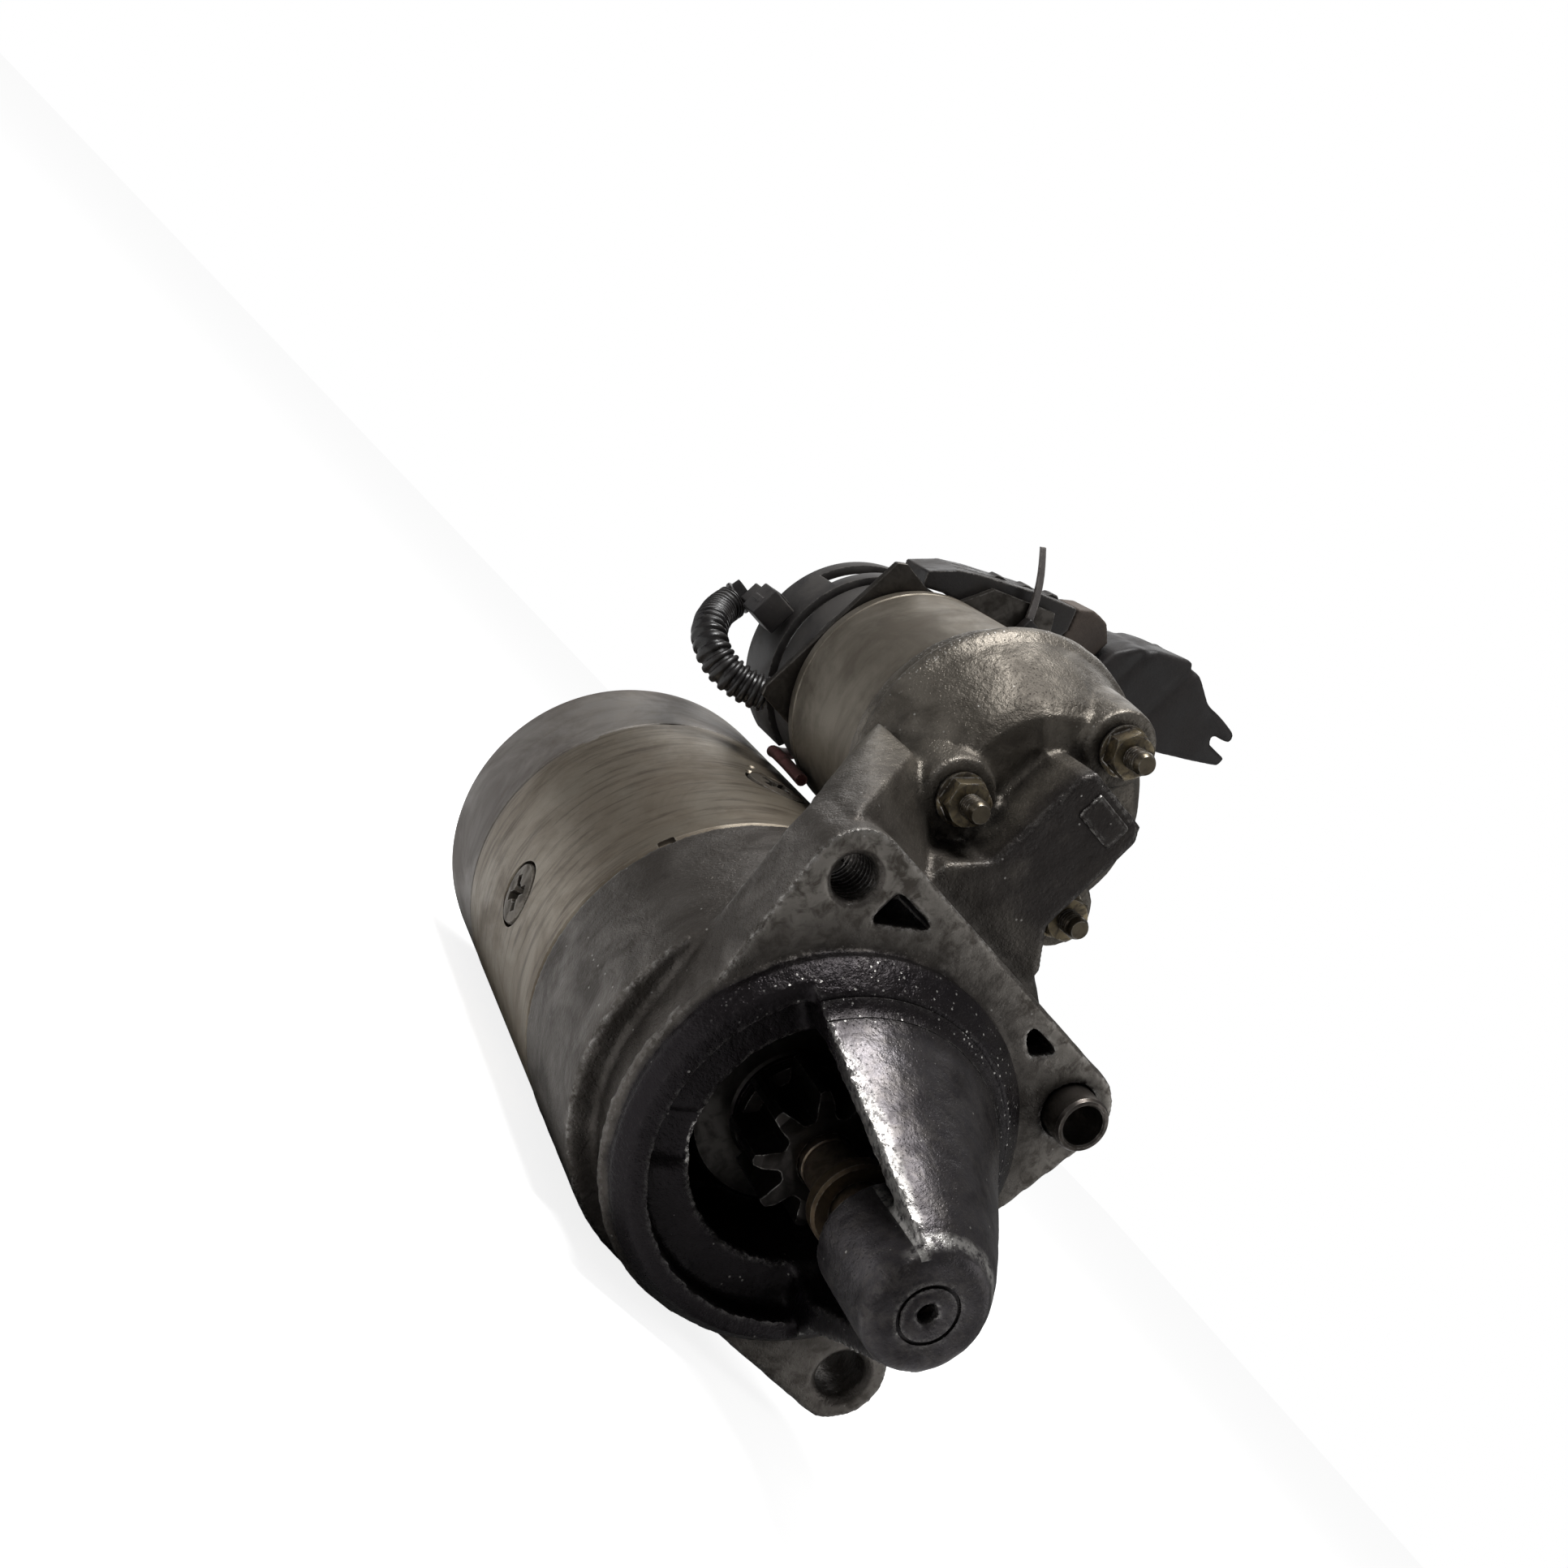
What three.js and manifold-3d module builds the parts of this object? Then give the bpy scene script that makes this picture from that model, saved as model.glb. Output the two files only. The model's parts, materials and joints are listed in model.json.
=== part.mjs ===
// Pre-engaged starter motor: millimetres, +Y along the motor axis towards the nose,
// +Z from the motor axis towards the solenoid axis.
import * as THREE from 'three';
import { ConvexGeometry } from 'three/addons/geometries/ConvexGeometry.js';
import { mergeVertices } from 'three/addons/utils/BufferGeometryUtils.js';
import Module from 'manifold-3d';

const wasm = await Module();
wasm.setup();

// ---- driving dimensions (mm), y = 0 at the front edge of the yoke ----
const gap = 0.3;
const frameR = 45;
const yokeRear = -70;
const coverRear = -108.2;
const housingR = 45.3;
const housingBoreR = 41;
const flangeRear = 39.3;
const flangeFront = 55;
const frontWall = 37.3;
const noseTip = 109;
const noseHalfAngleSlope = 0.5;
const noseR80 = 26;
const pilotR = 41;
const openingFrom = -130;
const openingTo = 35;
const lugR = 10;
const lugA = [37.1, 40.0];
const lugB = [-35.9, 39.7];
const lugC = [-45.9, -30.3];
const threadR = 4.4;
const boltHoleR = 5.2;
const dowelR = 5.9;
const dowelBoreR = 4.3;
const solenoidZ = 76.9;
const solenoidR = 29.7;
const solenoidRear = -49.8;
const collarRear = -6;
const studCircleR = 21;
const studAngles = [-30, 90, 210];
const nutSeat = 27.5;
const blockHalf = 10.3;
const blockTop = 89;
const blockFront = 40.4;
const pivot = [33, 46];
const shaftR = 5.5;
const coreR = 28.6;
const commutatorR = 17;
const poleAngles = [-22, 68, 158, 248];
const poleScrewY = -33;
const boltAngles = [23, 203];
const boltCircleR = 35.5;
const pinionTeeth = 9;
const pinionRootR = 8.9;
const pinionTipR = 14.4;
const pinionRear = 42.3;
const pinionFront = 60;
const plateY = [-53, -51];

const rad = (deg) => deg * Math.PI / 180;
const polar = (r, deg) => [r * Math.cos(rad(deg)), r * Math.sin(rad(deg))];

// ---- solids ----
function toSolid(geometry) {
  let g = geometry.index ? geometry.toNonIndexed() : geometry.clone();
  g.deleteAttribute('normal');
  g.deleteAttribute('uv');
  g = mergeVertices(g, 1e-4);
  const pos = g.attributes.position.array;
  const raw = g.index.array;
  const tri = [];
  for (let i = 0; i < raw.length; i += 3) {
    const [a, b, c] = [raw[i], raw[i + 1], raw[i + 2]];
    if (a !== b && b !== c && a !== c) tri.push(a, b, c);
  }
  if (volumeOf(pos, tri) < 0) {
    for (let i = 0; i < tri.length; i += 3) [tri[i + 1], tri[i + 2]] = [tri[i + 2], tri[i + 1]];
  }
  return new wasm.Manifold(new wasm.Mesh({
    numProp: 3,
    vertProperties: new Float32Array(pos),
    triVerts: new Uint32Array(tri),
  }));
}

function volumeOf(pos, tri) {
  let sum = 0;
  const a = new THREE.Vector3();
  const b = new THREE.Vector3();
  const c = new THREE.Vector3();
  for (let i = 0; i < tri.length; i += 3) {
    a.fromArray(pos, 3 * tri[i]);
    b.fromArray(pos, 3 * tri[i + 1]);
    c.fromArray(pos, 3 * tri[i + 2]);
    sum += a.dot(b.cross(c));
  }
  return sum;
}

function toGeometry(solid) {
  const mesh = solid.getMesh();
  const g = new THREE.BufferGeometry();
  const stride = mesh.numProp;
  const count = mesh.vertProperties.length / stride;
  const pos = new Float32Array(count * 3);
  for (let i = 0; i < count; i += 1) {
    for (let k = 0; k < 3; k += 1) pos[3 * i + k] = mesh.vertProperties[stride * i + k];
  }
  g.setAttribute('position', new THREE.BufferAttribute(pos, 3));
  g.setIndex(Array.from(mesh.triVerts));
  return g;
}

// turned about the Y direction through (x, z); profile is [radius, y] pairs
function turned(profile, x = 0, z = 0, segments = 40) {
  const points = profile.map(([r, y]) => new THREE.Vector2(Math.max(r, 0), y));
  const g = new THREE.LatheGeometry(points, segments);
  g.translate(x, 0, z);
  return toSolid(g);
}

function rod(r, y0, y1, x = 0, z = 0, segments = 16) {
  return turned([[0, y0], [r, y0], [r, y1], [0, y1]], x, z, segments);
}

function tube(rIn, rOut, y0, y1, x = 0, z = 0, segments = 40) {
  return turned([[rIn, y0], [rOut, y0], [rOut, y1], [rIn, y1], [rIn, y0]], x, z, segments);
}

function box(x0, x1, y0, y1, z0, z1) {
  const g = new THREE.BoxGeometry(x1 - x0, y1 - y0, z1 - z0);
  g.translate((x0 + x1) / 2, (y0 + y1) / 2, (z0 + z1) / 2);
  return toSolid(g);
}

// outline is [x, z] pairs, pushed along Y
function prism(outline, y0, y1, holes = []) {
  const shape = new THREE.Shape(outline.map(([x, z]) => new THREE.Vector2(x, -z)));
  for (const h of holes) shape.holes.push(new THREE.Path(h.map(([x, z]) => new THREE.Vector2(x, -z))));
  const g = new THREE.ExtrudeGeometry(shape, { depth: y1 - y0, bevelEnabled: false, curveSegments: 8 });
  g.rotateX(-Math.PI / 2);
  g.translate(0, y0, 0);
  return toSolid(g);
}

// outline is [y, z] pairs, pushed along X
function sidePrism(outline, x0, x1) {
  const shape = new THREE.Shape(outline.map(([y, z]) => new THREE.Vector2(y, z)));
  const g = new THREE.ExtrudeGeometry(shape, { depth: x1 - x0, bevelEnabled: false, curveSegments: 8 });
  g.applyMatrix4(new THREE.Matrix4().set(0, 0, 1, 0, 1, 0, 0, 0, 0, 1, 0, 0, 0, 0, 0, 1));
  g.translate(x0, 0, 0);
  return toSolid(g);
}

// straight cylinder from point a to point b, each [x, y, z]
function bar(a, b, r, segments = 16) {
  const from = new THREE.Vector3(...a);
  const to = new THREE.Vector3(...b);
  const g = new THREE.CylinderGeometry(r, r, from.distanceTo(to), segments);
  const dir = to.clone().sub(from).normalize();
  g.applyQuaternion(new THREE.Quaternion().setFromUnitVectors(new THREE.Vector3(0, 1, 0), dir));
  g.translate(...from.clone().add(to).multiplyScalar(0.5).toArray());
  return toSolid(g);
}

function sweep(points, r, steps, sides = 8) {
  const curve = new THREE.CatmullRomCurve3(points.map((p) => new THREE.Vector3(...p)));
  const ring = Array.from({ length: sides }, (_, i) => new THREE.Vector2(...polar(r, 360 * i / sides)));
  return toSolid(new THREE.ExtrudeGeometry(new THREE.Shape(ring), { steps, extrudePath: curve }));
}

function hull(points) {
  return toSolid(new ConvexGeometry(points.map((p) => new THREE.Vector3(...p))));
}

function circle(x, z, r, count = 20) {
  return Array.from({ length: count }, (_, i) => {
    const [dx, dz] = polar(r, 360 * i / count);
    return [x + dx, z + dz];
  });
}

function hullOutline(points) {
  const p = [...points].sort((a, b) => a[0] - b[0] || a[1] - b[1]);
  const turn = (o, a, b) => (a[0] - o[0]) * (b[1] - o[1]) - (a[1] - o[1]) * (b[0] - o[0]);
  const half = (list) => {
    const out = [];
    for (const q of list) {
      while (out.length > 1 && turn(out[out.length - 2], out[out.length - 1], q) <= 1e-9) out.pop();
      out.push(q);
    }
    out.pop();
    return out;
  };
  return [...half(p), ...half(p.reverse())];
}

function union(...solids) {
  return solids.reduce((a, b) => a.add(b));
}

function turnY(solid, deg) {
  const g = toGeometry(solid);
  g.rotateY(-rad(deg));
  return toSolid(g);
}

const group = new THREE.Group();
function part(name, solid, color, roughness, metalness) {
  const material = new THREE.MeshStandardMaterial({ color, roughness, metalness });
  const mesh = new THREE.Mesh(toGeometry(solid), material);
  mesh.name = name;
  group.add(mesh);
}

const paint = {
  cast: [0x6b6862, 0.6, 0.7],
  zinc: [0x8a8068, 0.45, 0.8],
  steel: [0x8d8d90, 0.4, 1.0],
  brassy: [0x9a8558, 0.4, 1.0],
  copper: [0xa86a3c, 0.45, 1.0],
  bronze: [0x8f7443, 0.5, 1.0],
  black: [0x1b1b1d, 0.7, 0.0],
  rubber: [0x202022, 0.85, 0.0],
  grey: [0x4a4a4c, 0.6, 0.0],
  red: [0x8c1f24, 0.6, 0.0],
  brown: [0x5a463a, 0.7, 0.0],
  carbon: [0x2e2e30, 0.6, 0.3],
};
const add = (name, solid, tone) => part(name, solid, ...paint[tone]);

// ---- motor frame ----
function rearCover() {
  const cup = turned([
    [0, coverRear], [40.5, coverRear], [43.4, coverRear + 0.9], [44.7, coverRear + 3.4], [frameR, coverRear + 8],
    [frameR, yokeRear - gap], [41.3, yokeRear - gap], [41.3, -102.5], [39.4, -104.4], [14, -104.4], [14, -96],
    [8.3, -96], [8.3, -105.2], [0, -105.2],
  ]);
  let cover = union(cup, rod(17, coverRear - 1.2, coverRear + 1, 0, 0, 32));
  for (const deg of boltAngles) {
    const [x, z] = polar(boltCircleR, deg);
    cover = cover.subtract(rod(2.9, -112, -100, x, z, 20));
  }
  return cover;
}

function yoke() {
  let solid = tube(40, frameR, yokeRear, 0);
  for (const deg of poleAngles) {
    const [cx, cz] = polar(1, deg);
    const at = (r) => [cx * r, poleScrewY, cz * r];
    solid = solid.subtract(bar(at(35), at(50), 4.4, 12));
    solid = solid.subtract(bar(at(42.4), at(50), 7.5, 24));
  }
  for (const y of [yokeRear, 0]) {
    solid = solid.subtract(turnY(box(frameR - 1, frameR + 1, y - 1.6, y + 1.6, -1.8, 1.8), 22));
  }
  solid = solid.subtract(bar([12, -34, 38], [12, -34, 50], 3.4, 20));
  return solid;
}

function sector(rIn, rOut, halfDeg, y0, y1, steps = 6) {
  const outer = Array.from({ length: steps + 1 }, (_, i) => polar(rOut, -halfDeg + 2 * halfDeg * i / steps));
  const inner = Array.from({ length: steps + 1 }, (_, i) => polar(rIn, halfDeg - 2 * halfDeg * i / steps));
  return prism([...outer, ...inner], y0, y1);
}

function poleShoe(deg) {
  const shoe = union(sector(31, 39.7, 12.5, -58, -10), sector(29.5, 32, 31, -58, -10, 10));
  const drilled = shoe.subtract(bar([33.2, poleScrewY, 0], [41, poleScrewY, 0], 4.4, 20));
  return turnY(drilled, deg);
}

function fieldCoil(deg) {
  const block = box(28, 42, -64.5, -3.5, -18.5, 18.5);
  const hole = box(26, 44, -58.4, -9.6, -9.2, 9.2);
  const ring = tube(32.4, 39.5, -66, -2, 0, 0, 56);
  return turnY(block.subtract(hole).intersect(ring), deg);
}

function poleScrew(deg) {
  const head = union(bar([42.7, poleScrewY, 0], [45.1, poleScrewY, 0], 7.1, 28),
    bar([33.6, poleScrewY, 0], [43, poleScrewY, 0], 4.0, 20));
  const slotA = box(43.6, 46, poleScrewY - 5.6, poleScrewY + 5.6, -0.9, 0.9);
  const slotB = box(43.6, 46, poleScrewY - 0.9, poleScrewY + 0.9, -5.6, 5.6);
  return turnY(head.subtract(slotA).subtract(slotB), deg);
}

function brushPlate() {
  let plate = tube(19.5, 40.8, -76, -74.4);
  for (const deg of boltAngles) {
    const [x, z] = polar(boltCircleR, deg);
    plate = plate.subtract(rod(3.4, -80, -70, x, z, 16));
  }
  for (const deg of poleAngles) {
    const shell = box(20, 37.5, -90.6, -75.8, -5.6, 5.6).subtract(box(18, 36.3, -89.4, -76.3, -4.4, 4.4));
    plate = plate.add(turnY(shell, deg));
  }
  return plate;
}

function brush(deg) {
  return turnY(box(commutatorR + 0.3, 29.5, -89.1, -76.6, -4.1, 4.1), deg);
}

function coilSpring(r, wire, from, to, turns, perTurn, place) {
  const points = [];
  const count = Math.round(turns * perTurn);
  for (let i = 0; i <= count; i += 1) {
    const [u, v] = polar(r, 360 * i / perTurn);
    points.push(place(u, v, from + (to - from) * i / count));
  }
  return sweep(points, wire, count, 4);
}

function brushSpring(deg) {
  const spring = coilSpring(3.1, 0.45, 30.4, 35.6, 3, 8, (u, v, s) => [s, -82.9 + u, v]);
  return turnY(spring, deg);
}

function throughBolt(deg) {
  const [x, z] = polar(boltCircleR, deg);
  const shank = rod(2.5, -110, 6, x, z, 16);
  const head = rod(4.6, -112.2, coverRear - gap, x, z, 6);
  return union(shank, head);
}

// ---- drive housing ----
function onSolenoid(deg) {
  const [dx, dz] = polar(studCircleR, deg);
  return [dx, solenoidZ + dz];
}

function flangePlate() {
  const upper = hullOutline([...circle(...lugA, lugR), ...circle(...lugB, lugR), ...circle(0, 0, 39.6, 40)]);
  const lower = hullOutline([...circle(...lugC, lugR), ...circle(-12.5, -14, 25.7, 32)]);
  return union(prism(upper, flangeRear, flangeFront), prism(lower, flangeRear, flangeFront));
}

function noseShell() {
  const coneR = (y) => noseR80 - noseHalfAngleSlope * (y - 80);
  const outer = turned([
    [0, flangeFront - 2], [42.6, flangeFront - 2], [42.6, flangeFront - 0.4], [pilotR, flangeFront + 0.6],
    [pilotR, flangeFront + 3.2], [39.4, 60], [36.6, 62.8], [33.9, 64.6], [33.1, 65.2], [32.6, 66.4],
    [coneR(72), 72], [coneR(80), 80], [coneR(90) + 0.5, 90], [coneR(98) + 0.7, 98], [coneR(104) + 0.5, 104],
    [12.1, 107.6], [11.2, 108.7], [10.2, noseTip], [0, noseTip],
  ], 0, 0, 40);
  const cavity = turned([
    [0, 50], [25, 50], [25, flangeFront], [27.5, 57], [27.5, 65], [20.8, 80], [13.6, 94], [8, 98], [0, 98],
  ], 0, 0, 32);
  const wedge = [[0, 0], ...[35, 0, -45, -90, -130].map((a) => polar(85, a === 35 ? openingTo : a === -130
    ? openingFrom : a))];
  const upperCut = prism(wedge, 61, 112);
  const lowerCut = prism(wedge, flangeFront, 61.5).intersect(rod(34.5, flangeFront, 62, 0, 0, 40));
  const boss = turned([
    [0, 86], [11.3, 86], [11.7, 86.6], [11.7, 107.4], [11.2, 108.6], [10.2, noseTip], [0, noseTip],
  ], 0, 0, 28);
  const shell = outer.subtract(cavity).subtract(upperCut).subtract(lowerCut);
  return union(shell, boss);
}

function solenoidSeat() {
  const seat = turned([
    [0, collarRear], [31.4, collarRear], [32, -5.2], [32, -2.8], [31.3, -1.6], [31.8, -0.6], [33.7, 0.9],
    [34.3, 2.6], [33.8, 4.4], [32.2, 6.6], [30.9, 10], [29.2, 13.4], [24, 22.5], [21.5, 25], [0, 25],
  ], 0, solenoidZ, 36);
  let solid = seat;
  for (const deg of studAngles) {
    const [x, z] = onSolenoid(deg);
    solid = solid.add(turned([[0, 0], [10.4, 0], [9.6, 18], [8.6, nutSeat - 0.8], [8, nutSeat], [0, nutSeat]],
      x, z, 20));
  }
  return solid;
}

function leverBlock() {
  const tower = [[-blockHalf, 50], [blockHalf, 50], [blockHalf, 86], [8.2, blockTop], [-8.2, blockTop],
    [-blockHalf, 86]];
  const base = [[-17, 38], [17, 38], [17, 55], [blockHalf, 61.5], [-blockHalf, 61.5], [-17, 55]];
  return union(prism(tower, 8, blockFront), prism(base, 2, blockFront));
}

function gussets() {
  const left = hull([
    [46.6, flangeRear, 41], [46.6, 50, 41], [44, flangeRear, 48.6], [44, 50, 48.6], [33, 8, 66], [30, 22, 66],
    [32.5, 8, 58], [16, 42, 48], [16, 24, 60], [16, 8, 58], [16, 8, 50], [30, 34, 40],
  ]);
  const right = hull([
    [-24.5, 26, 50], [-24.5, 40, 49.5], [-23.6, 24, 56.5], [-14, 24, 62], [-14, 40, 54], [-14, 10, 58],
    [-14, 10, 46], [-24, 16, 50], [-14, 40, 44], [-28, 40, 46],
  ]);
  const ribs = [
    hull([[11, 6, 88], [11, 26, 86], [13.5, 6, 86], [13.5, 26, 84], [28, 5, 88], [24, 12, 91], [11, 6, 80],
      [26, 5, 80]]),
    hull([[-10, 38, 84], [-10, 12, 88], [-12.2, 12, 86], [-12.2, 36, 80], [-10, 38, 66], [-12.2, 34, 66],
      [-10, 12, 66]]),
  ];
  return union(left, right, ...ribs);
}

function driveHousing() {
  let body = union(tube(housingBoreR, housingR, gap, flangeRear + 1), tube(24, 43, frontWall, flangeRear + 1));
  body = union(body, flangePlate(), noseShell(), solenoidSeat(), leverBlock(), gussets());
  const cuts = [
    rod(25, frontWall - 2, flangeFront, 0, 0, 36),
    rod(housingBoreR, -2, frontWall, 0, 0, 40),
    rod(frameR + 1, -20, gap, 0, 0, 40),
    rod(solenoidR - 0.1, collarRear - 2, 3, 0, solenoidZ, 40),
    rod(14, 0, 16, 0, solenoidZ, 20),
    rod(9.9, 10, 24, 0, solenoidZ, 20),
    box(-7.3, 7.3, 19, 37.6, 24, 86),
    bar([-30, pivot[0], pivot[1]], [30, pivot[0], pivot[1]], 3.3, 20),
    rod(7.8, 80, 104.6, 0, 0, 20),
    rod(1.7, 103, 112, 0, 0, 12),
    tube(5.2, 5.8, noseTip - 0.5, noseTip + 1, 0, 0, 24),
    rod(threadR, 30, 60, ...lugA, 24),
    rod(dowelR + 0.05, flangeFront - 9, 60, ...lugB, 28),
    rod(boltHoleR, 30, 60, ...lugB, 24),
    rod(boltHoleR, 30, 60, ...lugC, 24),
    prism([[28.5, 36.2], [28.5, 44.3], [17.4, 44.3]], 30, 60),
    prism([[-15, 43.6], [-15, 45.9], [-23.6, 45.9], [-19.2, 41.6]], 30, 60),
    turned([[0, flangeFront - 1.3], [threadR, flangeFront - 1.3], [threadR + 1.6, 55.3], [0, 55.3]], ...lugA, 24),
    turned([[0, flangeFront - 1.5], [boltHoleR, flangeFront - 1.5], [boltHoleR + 1.8, 55.3], [0, 55.3]],
      ...lugC, 24),
    turnY(box(25, 34.4, flangeFront - 1.5, 60, -6, 5), -34),
  ];
  for (const deg of studAngles) cuts.push(rod(2.9, 0, 30, ...onSolenoid(deg), 16));
  for (const deg of boltAngles) cuts.push(rod(2.9, -2, 8, ...polar(boltCircleR, deg), 16));
  const posts = boltAngles.map((deg) => rod(7, 2, 10, ...polar(36.5, deg), 20));
  body = union(body, ...posts);
  for (const cut of cuts) body = body.subtract(cut);
  return body;
}

// ---- armature, turning about the motor axis ----
function armatureShaft() {
  return turned([
    [0, -104.6], [4.6, -104.6], [5, -104.2], [5, -94.5], [7, -94.5], [7, 6], [6, 6.4], [shaftR, 8],
    [shaftR, 86.4], [5, 87], [5, 103], [4.4, 103.6], [0, 103.6],
  ], 0, 0, 24);
}

function slotted(count, rOut, rIn, slotDepth, slotHalf) {
  const outline = [];
  for (let i = 0; i < count; i += 1) {
    const mid = 360 * i / count;
    const toothHalf = 180 / count - slotHalf;
    outline.push(polar(rOut, mid - toothHalf), polar(rOut, mid), polar(rOut, mid + toothHalf));
    outline.push(polar(rOut - slotDepth, mid + toothHalf * 1.0), polar(rOut - slotDepth, mid + 360 / count
      - toothHalf));
  }
  return [outline, circle(0, 0, rIn, 20).reverse()];
}

function armatureCore() {
  const [outline, hole] = slotted(14, coreR, 7.3, 9, 3.2);
  return prism(outline, -56, -12, [hole]);
}

function armatureWindings() {
  const rear = turned([[9, -66], [23, -66], [26.5, -62], [26.5, -56.4], [9, -56.4], [9, -66]], 0, 0, 24);
  const front = turned([[9, -11.6], [26.5, -11.6], [26.5, -6], [22, -2.5], [9, -2.5], [9, -11.6]], 0, 0, 24);
  let solid = union(rear, front);
  for (let i = 0; i < 14; i += 1) {
    const wire = box(20.6, 27.6, -57, -11, -0.85, 0.85);
    solid = solid.add(turnY(wire, 360 * (i + 0.5) / 14));
  }
  return solid;
}

function commutator() {
  const [outline, hole] = slotted(20, commutatorR, 7.3, 0.8, 1.4);
  return union(prism(outline, -92.5, -71, [hole]), tube(7.3, 18.4, -71.5, -66.4, 0, 0, 40));
}

// ---- drive ----
function driveCollar() {
  return turned([
    [shaftR + 0.3, 9.4], [21, 9.4], [21, 12.4], [15.4, 12.4], [15.4, 19.0], [21, 19.0], [21, 21.6],
    [shaftR + 0.3, 21.6], [shaftR + 0.3, 9.4],
  ], 0, 0, 32);
}

function clutchShell() {
  return turned([
    [shaftR + 0.3, 21.9], [19.6, 21.9], [21.4, 23], [21.4, 38.4], [20.2, 40], [13, 40.4], [12.4, 41.9],
    [shaftR + 0.3, 41.9], [shaftR + 0.3, 21.9],
  ], 0, 0, 32);
}

function pinion() {
  const outline = [];
  for (let i = 0; i < pinionTeeth; i += 1) {
    const mid = 360 * i / pinionTeeth;
    outline.push(polar(pinionRootR, mid - 15), polar(pinionRootR + 0.6, mid - 11.2), polar(11.9, mid - 8),
      polar(pinionTipR - 0.2, mid - 4.2), polar(pinionTipR, mid), polar(pinionTipR - 0.2, mid + 4.2),
      polar(11.9, mid + 8), polar(pinionRootR + 0.6, mid + 11.2), polar(pinionRootR, mid + 15));
  }
  const hole = circle(0, 0, shaftR + 0.3, 20).reverse();
  const teeth = prism(outline, pinionRear + 2, pinionFront, [hole]);
  const chamfer = turned([[0, 40], [18, 40], [18, 57.6], [11.5, 60.6], [0, 60.6]], 0, 0, 27);
  return union(teeth.intersect(chamfer), tube(shaftR + 0.3, 12, pinionRear, pinionRear + 2.2, 0, 0, 32));
}

function shiftLever() {
  const [py, pz] = pivot;
  const arm = sidePrism([[py - 4.6, pz - 3], [py - 7.6, pz - 12], [py - 1.6, pz - 14], [py + 3.4, pz - 2],
    [py + 3.2, pz + 5], [32.6, 66], [33.4, 76.9], [32.2, 79.6], [30.8, 80.2], [29, 79.6], [27.6, 76.9],
    [28.2, 66], [py - 4.2, pz + 4]], -6, 6);
  const top = box(-12, 12, 20, 40, 70, 90).subtract(box(-2.7, 2.7, 20, 40, 70, 90));
  const bridge = hull([[-6, 26.2, 40], [6, 26.2, 40], [-6, 31.6, 40], [6, 31.6, 40], [-26, 21.6, 26],
    [26, 21.6, 26], [-26, 27, 26], [26, 27, 26], [-26, 24.4, 28.5], [26, 24.4, 28.5]])
    .subtract(rod(23.2, 10, 40, 0, 0, 40));
  let solid = union(arm.subtract(top), bridge);
  for (const s of [-1, 1]) {
    const leg = hull([[s * 22.7, 21.8, 26.5], [s * 22.7, 27, 26.5], [s * 26, 21.8, 26.5], [s * 26, 27, 26.5],
      [s * 22.7, 13.2, -2], [s * 22.7, 18.8, -2], [s * 26, 13.2, -2], [s * 26, 18.8, -2]]);
    const shoe = bar([s * 16.1, 15.7, 0], [s * 26, 15.7, 0], 2.8, 16);
    solid = union(solid, leg, shoe);
  }
  return solid.subtract(bar([-30, py, pz], [30, py, pz], 3.05, 20));
}

// ---- solenoid ----
function solenoidCase() {
  const shell = turned([
    [26.6, solenoidRear], [solenoidR, solenoidRear], [solenoidR, collarRear - gap], [29.2, collarRear - gap],
    [29.2, 2.6], [10, 2.6], [10, -1.2], [26.6, -1.2], [26.6, solenoidRear],
  ], 0, solenoidZ);
  const core = turned([
    [2.6, solenoidRear], [26.9, solenoidRear], [26.9, -47.6], [12.8, -47.6], [12.8, -31], [6, -31], [6, -44.5],
    [2.6, -44.5], [2.6, solenoidRear],
  ], 0, solenoidZ, 40);
  const studs = studAngles.map((deg) => rod(2.5, 1, 37.6, ...onSolenoid(deg), 16));
  return union(shell, core, ...studs);
}

function nut(deg) {
  const [x, z] = onSolenoid(deg);
  const hex = rod(5.3, nutSeat + gap, nutSeat + 4.9, x, z, 6);
  const washer = rod(5.6, nutSeat + gap, nutSeat + 1.2, x, z, 24);
  return union(hex, washer).subtract(rod(2.8, 20, 40, x, z, 16));
}

function solenoidCoil() {
  return turned([
    [13.2, -47.2], [26, -47.2], [26, -1.6], [9.6, -1.6], [9.6, -30.6], [13.2, -30.6], [13.2, -47.2],
  ], 0, solenoidZ, 40);
}

function plunger() {
  const body = turned([[0, -22], [8.6, -22], [9.2, -21.2], [9.2, 15.4], [6, 17.6], [0, 17.6]], 0, solenoidZ, 32);
  const neck = box(-6, 6, 17, 27.2, solenoidZ - 4.2, solenoidZ + 4.2);
  const hook = box(-6, 6, 22, 37.2, solenoidZ - 4.2, solenoidZ + 4.2)
    .subtract(box(-3.2, 3.2, 27.1, 34.5, solenoidZ - 6, solenoidZ + 6));
  return union(body, neck, hook);
}

function contactRod() {
  return union(rod(2.2, -56, -32.4, 0, solenoidZ, 16), rod(11, -58, -56, 0, solenoidZ, 28));
}

function solenoidCap() {
  const shell = turned([
    [0, -70], [25.5, -70], [27, -68.6], [27, -53.3], [23.5, -53.3], [23.5, -66], [0, -66],
  ], 0, solenoidZ, 36);
  const holes = [[12, 0], [-12, 0]].map(([x, z]) => rod(4.3, -80, -60, x, solenoidZ + z, 20));
  return holes.reduce((a, b) => a.subtract(b), shell);
}

function terminalCover() {
  const shell = tube(26, 28.2, -88, -70.3, 0, solenoidZ, 36);
  const open = hull([[8, -89, 44], [8, -69, 44], [-40, -89, 44], [-40, -69, 44], [-40, -89, 110],
    [-40, -69, 110], [-22, -89, 110], [-22, -69, 110]]);
  const slot = turnSlot(18, 52, -83, -75);
  return shell.subtract(open).subtract(slot);
}

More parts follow.
